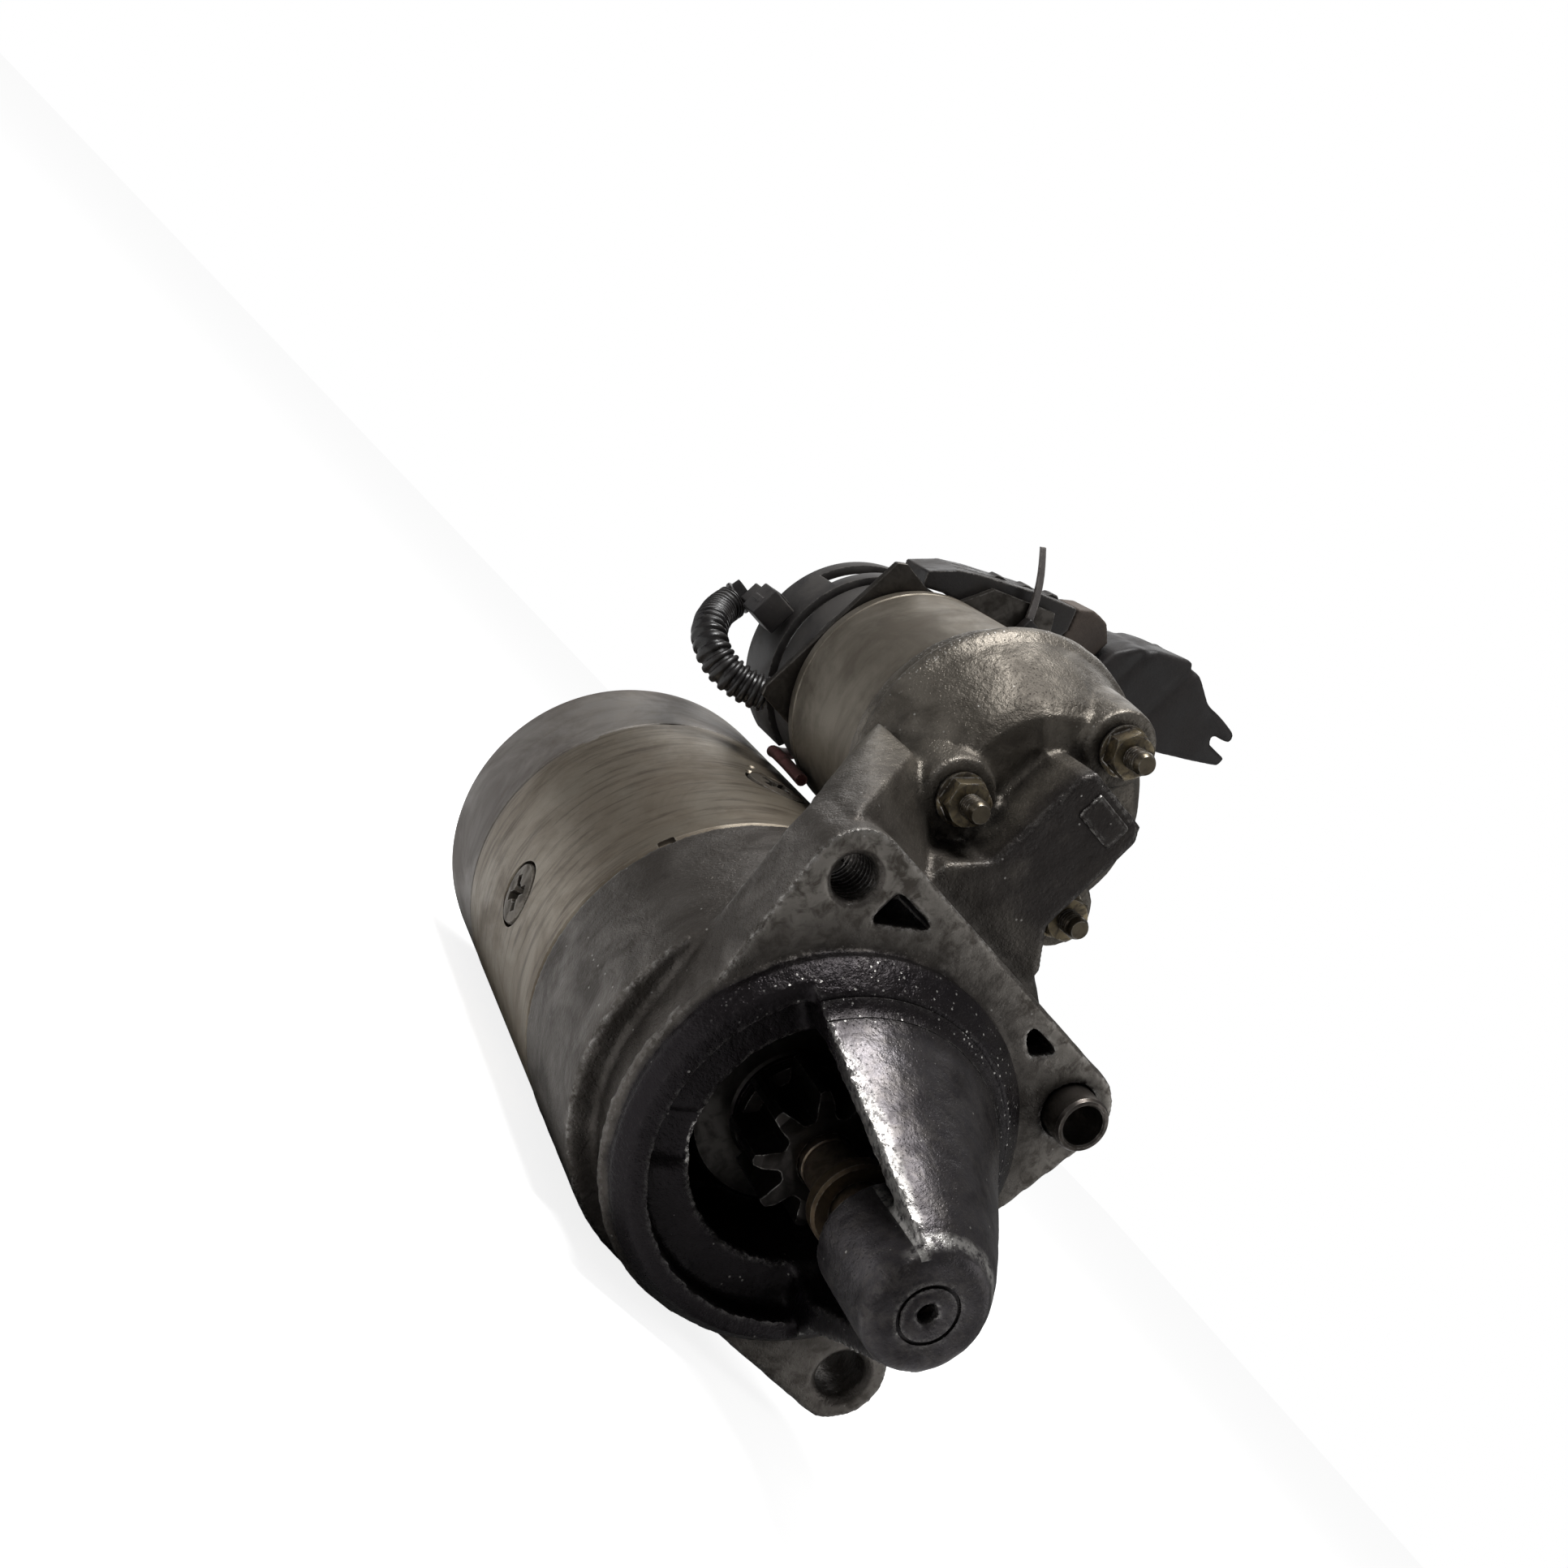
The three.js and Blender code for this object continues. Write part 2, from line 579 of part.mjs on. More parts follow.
function turnSlot(fromDeg, toDeg, y0, y1) {
  const a = polar(40, fromDeg);
  const b = polar(40, (fromDeg + toDeg) / 2);
  const c = polar(40, toDeg);
  return prism([[0, solenoidZ], [a[0], solenoidZ + a[1]], [b[0], solenoidZ + b[1]], [c[0], solenoidZ + c[1]]],
    y0, y1);
}

function terminal(x, length, nutR) {
  const head = rod(6.5, -65.7, -62.2, x, solenoidZ, 24);
  const shank = rod(4, -70.3 - length, -64, x, solenoidZ, 24);
  return union(head, shank, rod(nutR, -76.6, -70.3, x, solenoidZ, 6));
}

function returnSpring() {
  return coilSpring(4.6, 0.5, -43.8, -22.8, 5, 10, (u, v, s) => [u, s, solenoidZ + v]);
}

// ---- leads and harness on the back of the solenoid ----
function harnessBracket() {
  const outline = [[28, 54], [29, 56], [29, 98.6], [27, 100.2], [12, 100], [6, 113], [-10, 121], [-14, 116],
    [-4, 108], [-12, 100], [-26, 99], [-28, 96], [-28, 56], [-26, 54]];
  return prism(outline, ...plateY).subtract(rod(22, -56, -48, 0, solenoidZ, 40));
}

function harnessGuide() {
  const outline = [[21, 103.4], [15.5, 109.4], [10, 113.2], [-4, 121.4], [-14.6, 126.6], [-17.4, 121.4],
    [-17, 113.4], [-2, 106.6], [8, 105], [14, 102.8], [19, 99.8]];
  let solid = prism(outline, -67, -53.3);
  solid = solid.subtract(prism([[14, 107], [-12, 120.6], [-13, 117.4], [12, 105.4]], -70, -65.2));
  for (const s of [0, 1, 2]) {
    const x = 4 - 7 * s;
    const z = 114.6 + 3.9 * s;
    solid = solid.add(hull([[x + 2, -64, z - 1], [x - 2, -64, z + 1], [x + 2, -56, z - 1], [x - 2, -56, z + 1],
      [x + 1, -62, z + 2.6], [x - 1, -62, z + 3.4], [x + 1, -58, z + 2.6], [x - 1, -58, z + 3.4]]));
  }
  return solid;
}

function cableLug() {
  const block = prism([[-17.8, 121.8], [-15.4, 127], [-19, 130], [-24, 130.6], [-28.4, 127.6], [-29, 119],
    [-24, 113.4], [-17.8, 114]], -66, -54);
  return block;
}

function terminalBoot() {
  const outline = [[-29.6, 119.6], [-29.6, 127], [-33, 132], [-38, 136], [-48, 141.8], [-54, 140.8],
    [-61, 138.4], [-67, 139.2], [-73.6, 139.4], [-74.6, 136.6], [-68.6, 134.6], [-70, 132.4], [-77, 133.4],
    [-77.6, 130.8], [-71, 126.4], [-62, 120.6], [-50, 114], [-38, 113]];
  return prism(outline, -71, -50);
}

function cableTie() {
  const tail = hull([[-7.4, -50.6, 114.4], [-5.4, -50.6, 112.6], [-7.4, -49.6, 114.4], [-5.4, -49.6, 112.6],
    [5.4, -50.6, 129], [7.2, -50.6, 127.4], [5.4, -49.6, 129], [7.2, -49.6, 127.4]]);
  return union(tail, box(-9.2, -4.6, -50.7, -47.4, 110.4, 114.8));
}

function conduit() {
  return sweep([[23.5, -57.5, 55.2], [29, -60, 52.8], [35.5, -63, 52], [40.2, -67.5, 54], [40.4, -74, 57],
    [38.4, -81, 59.2], [36, -88, 62], [33.6, -92.6, 66], [33, -92.4, 70.4]], 4.5, 28, 12);
}

function connector() {
  return union(box(29, 36.9, -79, -71, 66.4, 74.4), box(30.2, 35.6, -86.6, -78.6, 67.8, 73.2));
}

function fieldLead() {
  return sweep([[12, -36.2, 46.9], [12, -46, 47.2], [11, -58, 47.3], [7, -67, 47.4], [1, -72.8, 49.8],
    [-6, -74.6, 58], [-12, -75, 69.4]], 1.5, 22, 6);
}

// ---- assembly ----
add('rear_cover', rearCover(), 'cast');
add('rear_bush', tube(5.3, 8, -104.9, -96.2, 0, 0, 24), 'bronze');
add('yoke', yoke(), 'zinc');
poleAngles.forEach((deg, i) => {
  add(`pole_shoe_${i + 1}`, poleShoe(deg), 'steel');
  add(`field_coil_${i + 1}`, fieldCoil(deg), 'copper');
  add(`pole_screw_${i + 1}`, poleScrew(deg), 'zinc');
  add(`brush_${i + 1}`, brush(deg), 'carbon');
  add(`brush_spring_${i + 1}`, brushSpring(deg), 'steel');
});
add('brush_plate', brushPlate(), 'steel');
boltAngles.forEach((deg, i) => add(`through_bolt_${i + 1}`, throughBolt(deg), 'steel'));
add('drive_housing', driveHousing(), 'cast');
add('nose_bush', tube(5.3, 7.5, 87.2, 104.2, 0, 0, 24), 'bronze');
add('dowel_bush', tube(dowelBoreR, dowelR - 0.02, flangeFront - 8.6, flangeFront + 6, ...lugB, 28), 'steel');
add('lever_pin', bar([-16.6, ...pivot], [16.6, ...pivot], 2.98, 24), 'steel');
add('solenoid_case', solenoidCase(), 'zinc');
add('solenoid_coil', solenoidCoil(), 'copper');
add('solenoid_cap', solenoidCap(), 'grey');
add('terminal_cover', terminalCover(), 'grey');
add('battery_terminal', terminal(12, 13.5, 7), 'copper');
add('motor_terminal', terminal(-12, 9.5, 6.6), 'copper');
studAngles.forEach((deg, i) => add(`solenoid_nut_${i + 1}`, nut(deg), 'brassy'));
add('harness_bracket', harnessBracket(), 'steel');
add('harness_guide', harnessGuide(), 'black');
add('cable_lug', cableLug(), 'brown');
add('terminal_boot', terminalBoot(), 'rubber');
add('cable_tie', cableTie(), 'black');
add('conduit', conduit(), 'black');
add('connector', connector(), 'black');
add('field_lead', fieldLead(), 'red');
add('armature_shaft', armatureShaft(), 'steel');
add('armature_core', armatureCore(), 'steel');
add('armature_windings', armatureWindings(), 'copper');
add('commutator', commutator(), 'copper');
add('stop_ring', tube(shaftR + 0.3, 9, 73.6, 77, 0, 0, 24), 'bronze');
add('drive_collar', driveCollar(), 'black');
add('clutch_shell', clutchShell(), 'steel');
add('pinion', pinion(), 'steel');
add('shift_lever', shiftLever(), 'black');
add('plunger', plunger(), 'steel');
add('return_spring', returnSpring(), 'steel');
add('contact_rod', contactRod(), 'copper');

// origin: centre of the bounding box's base
const bounds = new THREE.Box3().setFromObject(group);
const centre = bounds.getCenter(new THREE.Vector3());
group.children.forEach((mesh) => mesh.geometry.translate(-centre.x, -centre.y, -bounds.min.z));

export default group;
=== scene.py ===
import json
import math

import bmesh
import bpy
from mathutils import Matrix, Vector


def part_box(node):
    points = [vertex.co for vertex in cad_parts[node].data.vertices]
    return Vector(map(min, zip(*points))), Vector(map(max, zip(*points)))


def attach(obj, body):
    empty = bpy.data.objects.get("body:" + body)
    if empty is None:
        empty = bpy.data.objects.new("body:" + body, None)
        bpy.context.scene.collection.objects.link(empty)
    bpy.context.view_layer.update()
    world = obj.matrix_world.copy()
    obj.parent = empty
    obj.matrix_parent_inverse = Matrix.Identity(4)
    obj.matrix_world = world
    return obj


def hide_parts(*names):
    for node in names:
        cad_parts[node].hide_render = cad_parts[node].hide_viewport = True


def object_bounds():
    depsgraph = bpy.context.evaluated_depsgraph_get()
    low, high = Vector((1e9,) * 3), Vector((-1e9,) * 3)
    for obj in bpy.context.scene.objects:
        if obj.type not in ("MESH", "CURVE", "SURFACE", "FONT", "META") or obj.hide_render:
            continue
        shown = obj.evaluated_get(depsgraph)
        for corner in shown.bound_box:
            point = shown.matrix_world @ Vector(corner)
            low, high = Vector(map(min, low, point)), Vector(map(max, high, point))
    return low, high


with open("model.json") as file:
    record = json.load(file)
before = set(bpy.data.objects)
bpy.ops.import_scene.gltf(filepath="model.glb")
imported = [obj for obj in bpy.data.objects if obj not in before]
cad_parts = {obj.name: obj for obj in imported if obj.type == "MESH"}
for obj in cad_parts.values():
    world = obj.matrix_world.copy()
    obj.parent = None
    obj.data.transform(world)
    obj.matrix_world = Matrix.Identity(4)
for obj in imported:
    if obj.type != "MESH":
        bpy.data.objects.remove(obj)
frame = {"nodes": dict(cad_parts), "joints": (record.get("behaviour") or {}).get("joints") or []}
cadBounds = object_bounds()
cadNodes = frame["nodes"]
joints = {j["name"]: j for j in frame["joints"]}

# the motor axis and the front edge of the yoke are where every dimension starts
axisPoint = joints["armature_spin"]["pos_m"]
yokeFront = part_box("yoke")[1].y
mm = 0.001


def place(x, y, z):
    return Vector((axisPoint[0] + x * mm, yokeFront + y * mm, axisPoint[2] + z * mm))


def onCircle(radius, degrees):
    return radius * math.cos(math.radians(degrees)), radius * math.sin(math.radians(degrees))


solenoidHeight = 76.9  # solenoid axis above the motor axis, mm
studSpots = [(x, z + solenoidHeight) for x, z in (onCircle(21, d) for d in (-30, 90, 210))]
boltSpots = [onCircle(35.5, d) for d in (23, 203)]
poleAngles = (-22, 68, 158, 248)

# camera, floor and light
camera = {"spot": (204.18, 331.07, 38.19), "right": (-0.6017, 0.3212, 0.7313),
          "up": (0.6536, -0.3282, 0.6820), "lens": 40.99}


def makeCamera():
    spot = place(*camera["spot"])
    bpy.ops.object.camera_add(location=spot)
    cam = bpy.context.object
    cam.name = "mainCamera"
    right, up = Vector(camera["right"]).normalized(), Vector(camera["up"]).normalized()
    back = right.cross(up).normalized()
    turn = Matrix((right, up, back)).transposed().to_4x4()
    cam.matrix_world = Matrix.Translation(spot) @ turn
    cam.data.lens = camera["lens"]
    cam.data.sensor_width = 36
    cam.data.clip_start = 0.005
    bpy.context.scene.camera = cam


studio = {"worldGrey": 0.13, "seenWhite": 1.0, "keyPower": 4.6, "fillPower": 0.7, "rimPower": 1.6,
          "keySize": 0.24}


def makeStudio():
    world = bpy.data.worlds.new("studioWorld")
    bpy.context.scene.world = world
    bpy.context.scene.view_settings.view_transform = "Standard"
    world.use_nodes = True
    tree = world.node_tree
    tree.nodes.clear()
    out = tree.nodes.new("ShaderNodeOutputWorld")
    lit = tree.nodes.new("ShaderNodeBackground")
    lit.inputs["Color"].default_value = (1, 1, 1, 1)
    lit.inputs["Strength"].default_value = studio["worldGrey"]
    seen = tree.nodes.new("ShaderNodeBackground")
    seen.inputs["Color"].default_value = (1, 1, 1, 1)
    seen.inputs["Strength"].default_value = studio["seenWhite"]
    path = tree.nodes.new("ShaderNodeLightPath")
    mix = tree.nodes.new("ShaderNodeMixShader")
    tree.links.new(path.outputs["Is Camera Ray"], mix.inputs[0])
    tree.links.new(lit.outputs[0], mix.inputs[1])
    tree.links.new(seen.outputs[0], mix.inputs[2])
    tree.links.new(mix.outputs[0], out.inputs[0])
    middle = (cadBounds[0] + cadBounds[1]) / 2
    for name, offset, size, power in (
            ("keyLight", (0.34, 0.02, 0.60), studio["keySize"], studio["keyPower"]),
            ("fillLight", (-0.5, 0.35, 0.25), 0.5, studio["fillPower"]),
            ("rimLight", (-0.1, -0.6, 0.5), 0.6, studio["rimPower"])):
        bpy.ops.object.light_add(type="AREA", location=middle + Vector(offset))
        lamp = bpy.context.object
        lamp.name = name
        lamp.data.size = size
        lamp.data.energy = power
        lamp.rotation_euler = (-Vector(offset)).to_track_quat("-Z", "Y").to_euler()


def newGroup(name, inputs, outputs):
    tree = bpy.data.node_groups.new(name, "ShaderNodeTree")
    for socketName, kind, value in inputs:
        socket = tree.interface.new_socket(socketName, in_out="INPUT", socket_type=kind)
        if value is not None:
            socket.default_value = value
    for socketName in outputs:
        tree.interface.new_socket(socketName, in_out="OUTPUT", socket_type=floatSocket)
    return tree, tree.nodes.new("NodeGroupInput").outputs, tree.nodes.new("NodeGroupOutput").inputs


def addNode(tree, kind, sockets=None, **settings):
    made = tree.nodes.new(kind)
    for key, value in settings.items():
        setattr(made, key, value)
    for key, value in (sockets or {}).items():
        if isinstance(value, bpy.types.NodeSocket):
            tree.links.new(value, made.inputs[key])
        else:
            made.inputs[key].default_value = value
    return made


def calc(tree, operation, a, b=None, clamp=False):
    made = addNode(tree, "ShaderNodeMath", {0: a} if b is None else {0: a, 1: b}, operation=operation)
    made.use_clamp = clamp
    return made.outputs[0]


def times(tree, *factors, clamp=False):
    product = factors[0]
    for factor in factors[1:]:
        product = calc(tree, "MULTIPLY", product, factor, clamp and factor is factors[-1])
    return product


def remap(tree, value, fromLow, fromHigh, toLow=0.0, toHigh=1.0):
    sockets = {"Value": value, "From Min": fromLow, "From Max": fromHigh, "To Min": toLow, "To Max": toHigh}
    return addNode(tree, "ShaderNodeMapRange", sockets).outputs[0]


def mixColour(tree, factor, a, b):
    return addNode(tree, "ShaderNodeMix", {0: factor, 6: a, 7: b}, data_type="RGBA").outputs[2]


def noise(tree, vector, scale, detail=3.0, rough=0.55, distortion=0.0):
    sockets = {"Vector": vector, "Scale": scale, "Detail": detail, "Roughness": rough,
               "Distortion": distortion}
    return addNode(tree, "ShaderNodeTexNoise", sockets).outputs[0]


def splitVector(tree, vector):
    return addNode(tree, "ShaderNodeSeparateXYZ", {0: vector}).outputs


def surfaceNormal(tree):
    return addNode(tree, "ShaderNodeNewGeometry").outputs["Normal"]


floatSocket = "NodeSocketFloat"
whereSocket = ("Vector", "NodeSocketVector", None)


# soft stains a few millimetres to centimetres across
def patchesGroup():
    tree, given, result = newGroup("patches", [whereSocket, ("Scale", floatSocket, 60.0),
                                               ("Low", floatSocket, 0.42), ("High", floatSocket, 0.62)],
                                   ["Mask"])
    big = noise(tree, given["Vector"], given["Scale"], 5.0, 0.62, 0.6)
    tree.links.new(remap(tree, big, given["Low"], given["High"]), result["Mask"])
    return tree


# sand-cast skin, small pits over low lumps
def castGrainGroup():
    tree, given, result = newGroup("castGrain", [whereSocket, ("Scale", floatSocket, 1400.0)],
                                   ["Height", "Pits"])
    fine = noise(tree, given["Vector"], given["Scale"], 4.0, 0.6)
    lumps = noise(tree, given["Vector"], times(tree, given["Scale"], 0.22), 3.0, 0.5)
    cells = addNode(tree, "ShaderNodeTexVoronoi", {"Vector": given["Vector"], "Scale": given["Scale"]})
    pits = remap(tree, cells.outputs["Distance"], 0.05, 0.3)
    height = calc(tree, "ADD", times(tree, fine, 0.5), times(tree, lumps, 0.9))
    tree.links.new(calc(tree, "ADD", height, times(tree, pits, 0.18)), result["Height"])
    tree.links.new(calc(tree, "SUBTRACT", 1.0, pits), result["Pits"])
    return tree


# bright metal where edges are rubbed, broken up by a noise
def edgeWearGroup():
    tree, given, result = newGroup("edgeWear", [whereSocket, ("Radius", floatSocket, 0.0009),
                                                ("Breakup", floatSocket, 900.0),
                                                ("Reach", floatSocket, 0.1)], ["Mask"])
    bevel = addNode(tree, "ShaderNodeBevel", {"Radius": given["Radius"]}, samples=6)
    geometry = addNode(tree, "ShaderNodeNewGeometry")
    likeness = addNode(tree, "ShaderNodeVectorMath", {0: bevel.outputs[0], 1: geometry.outputs["Normal"]},
                       operation="DOT_PRODUCT").outputs["Value"]
    bend = remap(tree, calc(tree, "SUBTRACT", 1.0, likeness), 0.03, given["Reach"])
    convex = remap(tree, geometry.outputs["Pointiness"], 0.497, 0.51)
    broken = remap(tree, noise(tree, given["Vector"], given["Breakup"], 4.0, 0.7), 0.42, 0.6)
    tree.links.new(times(tree, bend, broken, convex, clamp=True), result["Mask"])
    return tree


# grease that gathers in corners and hollows, with painted shade: the hollows are darkened by an
# ambient-occlusion mask
def grimeAndShadeGroup():
    tree, given, result = newGroup("grimeAndShade", [whereSocket, ("Distance", floatSocket, 0.006),
                                             ("Amount", floatSocket, 1.0)], ["Mask"])
    hollow = addNode(tree, "ShaderNodeAmbientOcclusion", {"Distance": given["Distance"]}, samples=6)
    depth = remap(tree, hollow.outputs["AO"], 0.95, 0.45)
    spread = remap(tree, noise(tree, given["Vector"], 220.0, 4.0, 0.6), 0.3, 0.7, 0.45, 1.25)
    tree.links.new(times(tree, depth, spread, given["Amount"], clamp=True), result["Mask"])
    return tree


# stains and scratches that run round an axis along Y
def ringMarksGroup():
    tree, given, result = newGroup("ringMarks", [whereSocket, ("Around", floatSocket, 1.5),
                                                 ("Along", floatSocket, 260.0)], ["Stain", "Scratch"])
    x, y, z = splitVector(tree, given["Vector"])
    angle = calc(tree, "ARCTAN2", z, x)
    ringX = times(tree, calc(tree, "COSINE", angle), given["Around"])
    ringZ = times(tree, calc(tree, "SINE", angle), given["Around"])
    wrapped = addNode(tree, "ShaderNodeCombineXYZ", {0: ringX, 1: times(tree, y, given["Along"]), 2: ringZ})
    wrapped = wrapped.outputs[0]
    tree.links.new(remap(tree, noise(tree, wrapped, 1.6, 5.0, 0.65, 0.4), 0.5, 0.68), result["Stain"])
    fine = addNode(tree, "ShaderNodeVectorMath", {0: wrapped, 1: (1.0, 14.0, 1.0)}, operation="MULTIPLY")
    tree.links.new(noise(tree, fine.outputs[0], 2.0, 3.0, 0.6), result["Scratch"])
    return tree


# tiny bright specks in a greasy skin: painted glints, highlights mixed into the colour
def glintsGroup():
    tree, given, result = newGroup("glints", [whereSocket, ("Scale", floatSocket, 900.0),
                                              ("Share", floatSocket, 0.12)], ["Mask"])
    cells = addNode(tree, "ShaderNodeTexVoronoi", {"Vector": given["Vector"], "Scale": given["Scale"]})
    fleck = remap(tree, cells.outputs["Distance"], 0.32, 0.18)
    chance = addNode(tree, "ShaderNodeSeparateColor", {0: cells.outputs["Color"]}).outputs[0]
    tree.links.new(times(tree, fleck, calc(tree, "LESS_THAN", chance, given["Share"]), clamp=True),
                   result["Mask"])
    return tree


# pale film on surfaces that look up
def dustGroup():
    tree, given, result = newGroup("dust", [whereSocket, ("Amount", floatSocket, 0.4)], ["Mask"])
    top = remap(tree, splitVector(tree, surfaceNormal(tree))[2], -0.2, 1.0)
    film = remap(tree, noise(tree, given["Vector"], 160.0, 5.0, 0.7), 0.35, 0.7)
    tree.links.new(times(tree, top, film, given["Amount"], clamp=True), result["Mask"])
    return tree


groups = {"patches": patchesGroup(), "castGrain": castGrainGroup(), "edgeWear": edgeWearGroup(),
          "grimeAndShade": grimeAndShadeGroup(), "ringMarks": ringMarksGroup(), "glints": glintsGroup(),
          "dust": dustGroup()}
print("groups made")


def useGroup(tree, name, **sockets):
    made = tree.nodes.new("ShaderNodeGroup")
    made.node_tree = groups[name]
    for key, value in sockets.items():
        if isinstance(value, bpy.types.NodeSocket):
            tree.links.new(value, made.inputs[key])
        else:
            made.inputs[key].default_value = value
    return made.outputs


def shade(colour):
    return (*colour, 1.0)


def startMaterial(name, centre=(0, 0, 0)):
    material = bpy.data.materials.new(name)
    material.use_nodes = True
    tree = material.node_tree
    bsdf = tree.nodes["Principled BSDF"]
    coords = addNode(tree, "ShaderNodeTexCoord").outputs["Object"]
    moved = addNode(tree, "ShaderNodeMapping", {"Vector": coords, "Location": tuple(-c for c in centre)})
    return material, tree, bsdf, moved.outputs[0]


def finishColour(tree, bsdf, look, vector, colour, rough, height, wearShare=1.0):
    # dirt and painted shade: corners and hollows darkened by an ambient-occlusion mask
    grimeAndShade = useGroup(tree, "grimeAndShade", Vector=vector, Distance=look.get("grimeShadeReach", 0.006),
                     Amount=look.get("grimeAndShade", 0.8))["Mask"]
    colour = mixColour(tree, grimeAndShade, colour, shade(look["grimeShadeColour"]))
    dust = useGroup(tree, "dust", Vector=vector, Amount=look.get("dust", 0.2))["Mask"]
    colour = mixColour(tree, dust, colour, shade(look.get("dustColour", (0.2, 0.18, 0.15))))
    wear = useGroup(tree, "edgeWear", Vector=vector, Radius=look.get("wearRadius", 0.0009),
                    Breakup=look.get("wearBreakup", 900.0), Reach=look.get("wearReach", 0.1))["Mask"]
    wear = calc(tree, "MULTIPLY", wear, look.get("wear", 0.8))
    wear = calc(tree, "MULTIPLY", wear, wearShare)
    colour = mixColour(tree, wear, colour, shade(look["wearAndGlintColour"]))
    rough = calc(tree, "ADD", rough, calc(tree, "MULTIPLY", dust, 0.25))
    rough = calc(tree, "SUBTRACT", rough, calc(tree, "MULTIPLY", wear, look.get("wearPolish", 0.15)), True)
    tree.links.new(colour, bsdf.inputs["Base Color"])
    tree.links.new(rough, bsdf.inputs["Roughness"])
    bump = addNode(tree, "ShaderNodeBump", {"Height": height, "Strength": look.get("bump", 0.5),
                                            "Distance": look.get("bumpDepth", 0.0003)})
    tree.links.new(bump.outputs[0], bsdf.inputs["Normal"])
    bsdf.inputs["Metallic"].default_value = look.get("metallic", 0.0)
    bsdf.inputs["IOR"].default_value = look.get("ior", 1.5)


# surface with patches, grain, dirt and painted shade in hollows and pits, worn edges and, where a look
# asks, painted glints
def plainFinish(name, look):
    material, tree, bsdf, vector = startMaterial(name, look.get("centre", (0, 0, 0)))
    patches = useGroup(tree, "patches", Vector=vector, Scale=look.get("patchScale", 90.0))["Mask"]
    colour = mixColour(tree, patches, shade(look["colour"]), shade(look["patchColour"]))
    grain = useGroup(tree, "castGrain", Vector=vector, Scale=look.get("grainScale", 1500.0))
    # painted shade in the cast pits: the grain's pits are darkened with the dirt-and-shade colour
    pitShadeMask = calc(tree, "MULTIPLY", grain["Pits"], look.get("pitShade", 0.3))
    colour = mixColour(tree, pitShadeMask, colour, shade(look["grimeShadeColour"]))
    height = grain["Height"]
    rough = remap(tree, patches, 0.0, 1.0, look["rough"][0], look["rough"][1])
    if look.get("ring"):
        marks = useGroup(tree, "ringMarks", Vector=vector, Around=look.get("ringAround", 1.5),
                         Along=look.get("ringAlong", 260.0))
        stain = calc(tree, "MULTIPLY", marks["Stain"], look["ring"])
        colour = mixColour(tree, stain, colour, shade(look["stainColour"]))
        height = calc(tree, "ADD", calc(tree, "MULTIPLY", height, look.get("grainShare", 0.5)),
                      calc(tree, "MULTIPLY", marks["Scratch"], look.get("scratch", 0.5)))
    # painted glints: bright specks mixed into the colour as highlights
    if look.get("glints"):
        dots = useGroup(tree, "glints", Vector=vector, Scale=look.get("glintScale", 700.0),
                        Share=look["glints"])
        colour = mixColour(tree, dots["Mask"], colour, shade(look["wearAndGlintColour"]))
        rough = calc(tree, "SUBTRACT", rough, calc(tree, "MULTIPLY", dots["Mask"], 0.15))
    finishColour(tree, bsdf, look, vector, colour, rough, height)
    return material


# housing casting: one skin, with the ring, the machined flange and the oily nose as zones of it
castLook = {"ring": (0.125, 0.112, 0.100), "ringPatch": (0.055, 0.047, 0.040),
            "seat": (0.185, 0.165, 0.138), "seatPatch": (0.075, 0.065, 0.053),
            "flange": (0.26, 0.24, 0.215), "flangePatch": (0.09, 0.078, 0.066),
            "nose": (0.070, 0.064, 0.068), "noseDark": (0.014, 0.011, 0.013),
            "block": (0.034, 0.029, 0.027), "grimeShadeColour": (0.006, 0.005, 0.005),
            "wearAndGlintColour": (0.62, 0.6, 0.57), "metallic": 0.7, "rough": 0.43, "oilRough": 0.33,
            "grimeAndShade": 0.9, "grimeShadeReach": 0.008, "wear": 1.0, "wearRadius": 0.0024, "wearReach": 0.13,
            "dust": 0.12, "dustColour": (0.12, 0.105, 0.088), "bump": 0.8, "bumpDepth": 0.0005}


# where the zones of the casting start and end, in metres from the motor axis and the yoke's front edge
castZones = {"seatStart": (0.047, 0.062), "blockFront": (0.032, 0.040), "blockHalf": (0.016, 0.011),
             "flangeFacing": (0.9, 0.97), "flangeBack": (0.0535, 0.0545), "flangeFront": (0.0562, 0.0556),
             "oilReach": (0.042, 0.052), "oilHeight": (-0.012, 0.02, 0.35, 1.0),
             "noseStart": (0.0552, 0.0562), "domeEnd": (0.064, 0.070), "domeWear": (0.0670, 0.0655),
             "domeGlintStart": (0.0575, 0.061), "domeGlintEnd": (0.0675, 0.0645), "litSide": (0.004, 0.024),
             "ridgeRadius": (0.0328, 0.0337), "ridgeFront": (0.0075, 0.004), "ridgeHeight": (-0.012, 0.004),
             "lipBack": (-0.0018, -0.0030), "lipRadius": (0.0312, 0.0316),
             "mouthRadius": (0.0352, 0.0340), "mouthDepth": (0.066, 0.060),
             "bandTurn": (0.76, 0.64), "bandStart": (0.070, 0.082), "rubBreakup": (0.38, 0.56),
             "rimBack": (0.1052, 0.1062), "rimFront": (0.1082, 0.1072), "rimTurn": (0.3, 0.7),
             "coneSmooth": (0.066, 0.069, 1.0, 0.45)}
castRubHighlight = {"turn": 0.55, "radius": 0.0105, "strength": 0.68}


def distanceFromAxis(tree, x, z):
    flat = addNode(tree, "ShaderNodeCombineXYZ", {0: x, 2: z}).outputs[0]
    return addNode(tree, "ShaderNodeVectorMath", {0: flat}, operation="LENGTH").outputs["Value"]


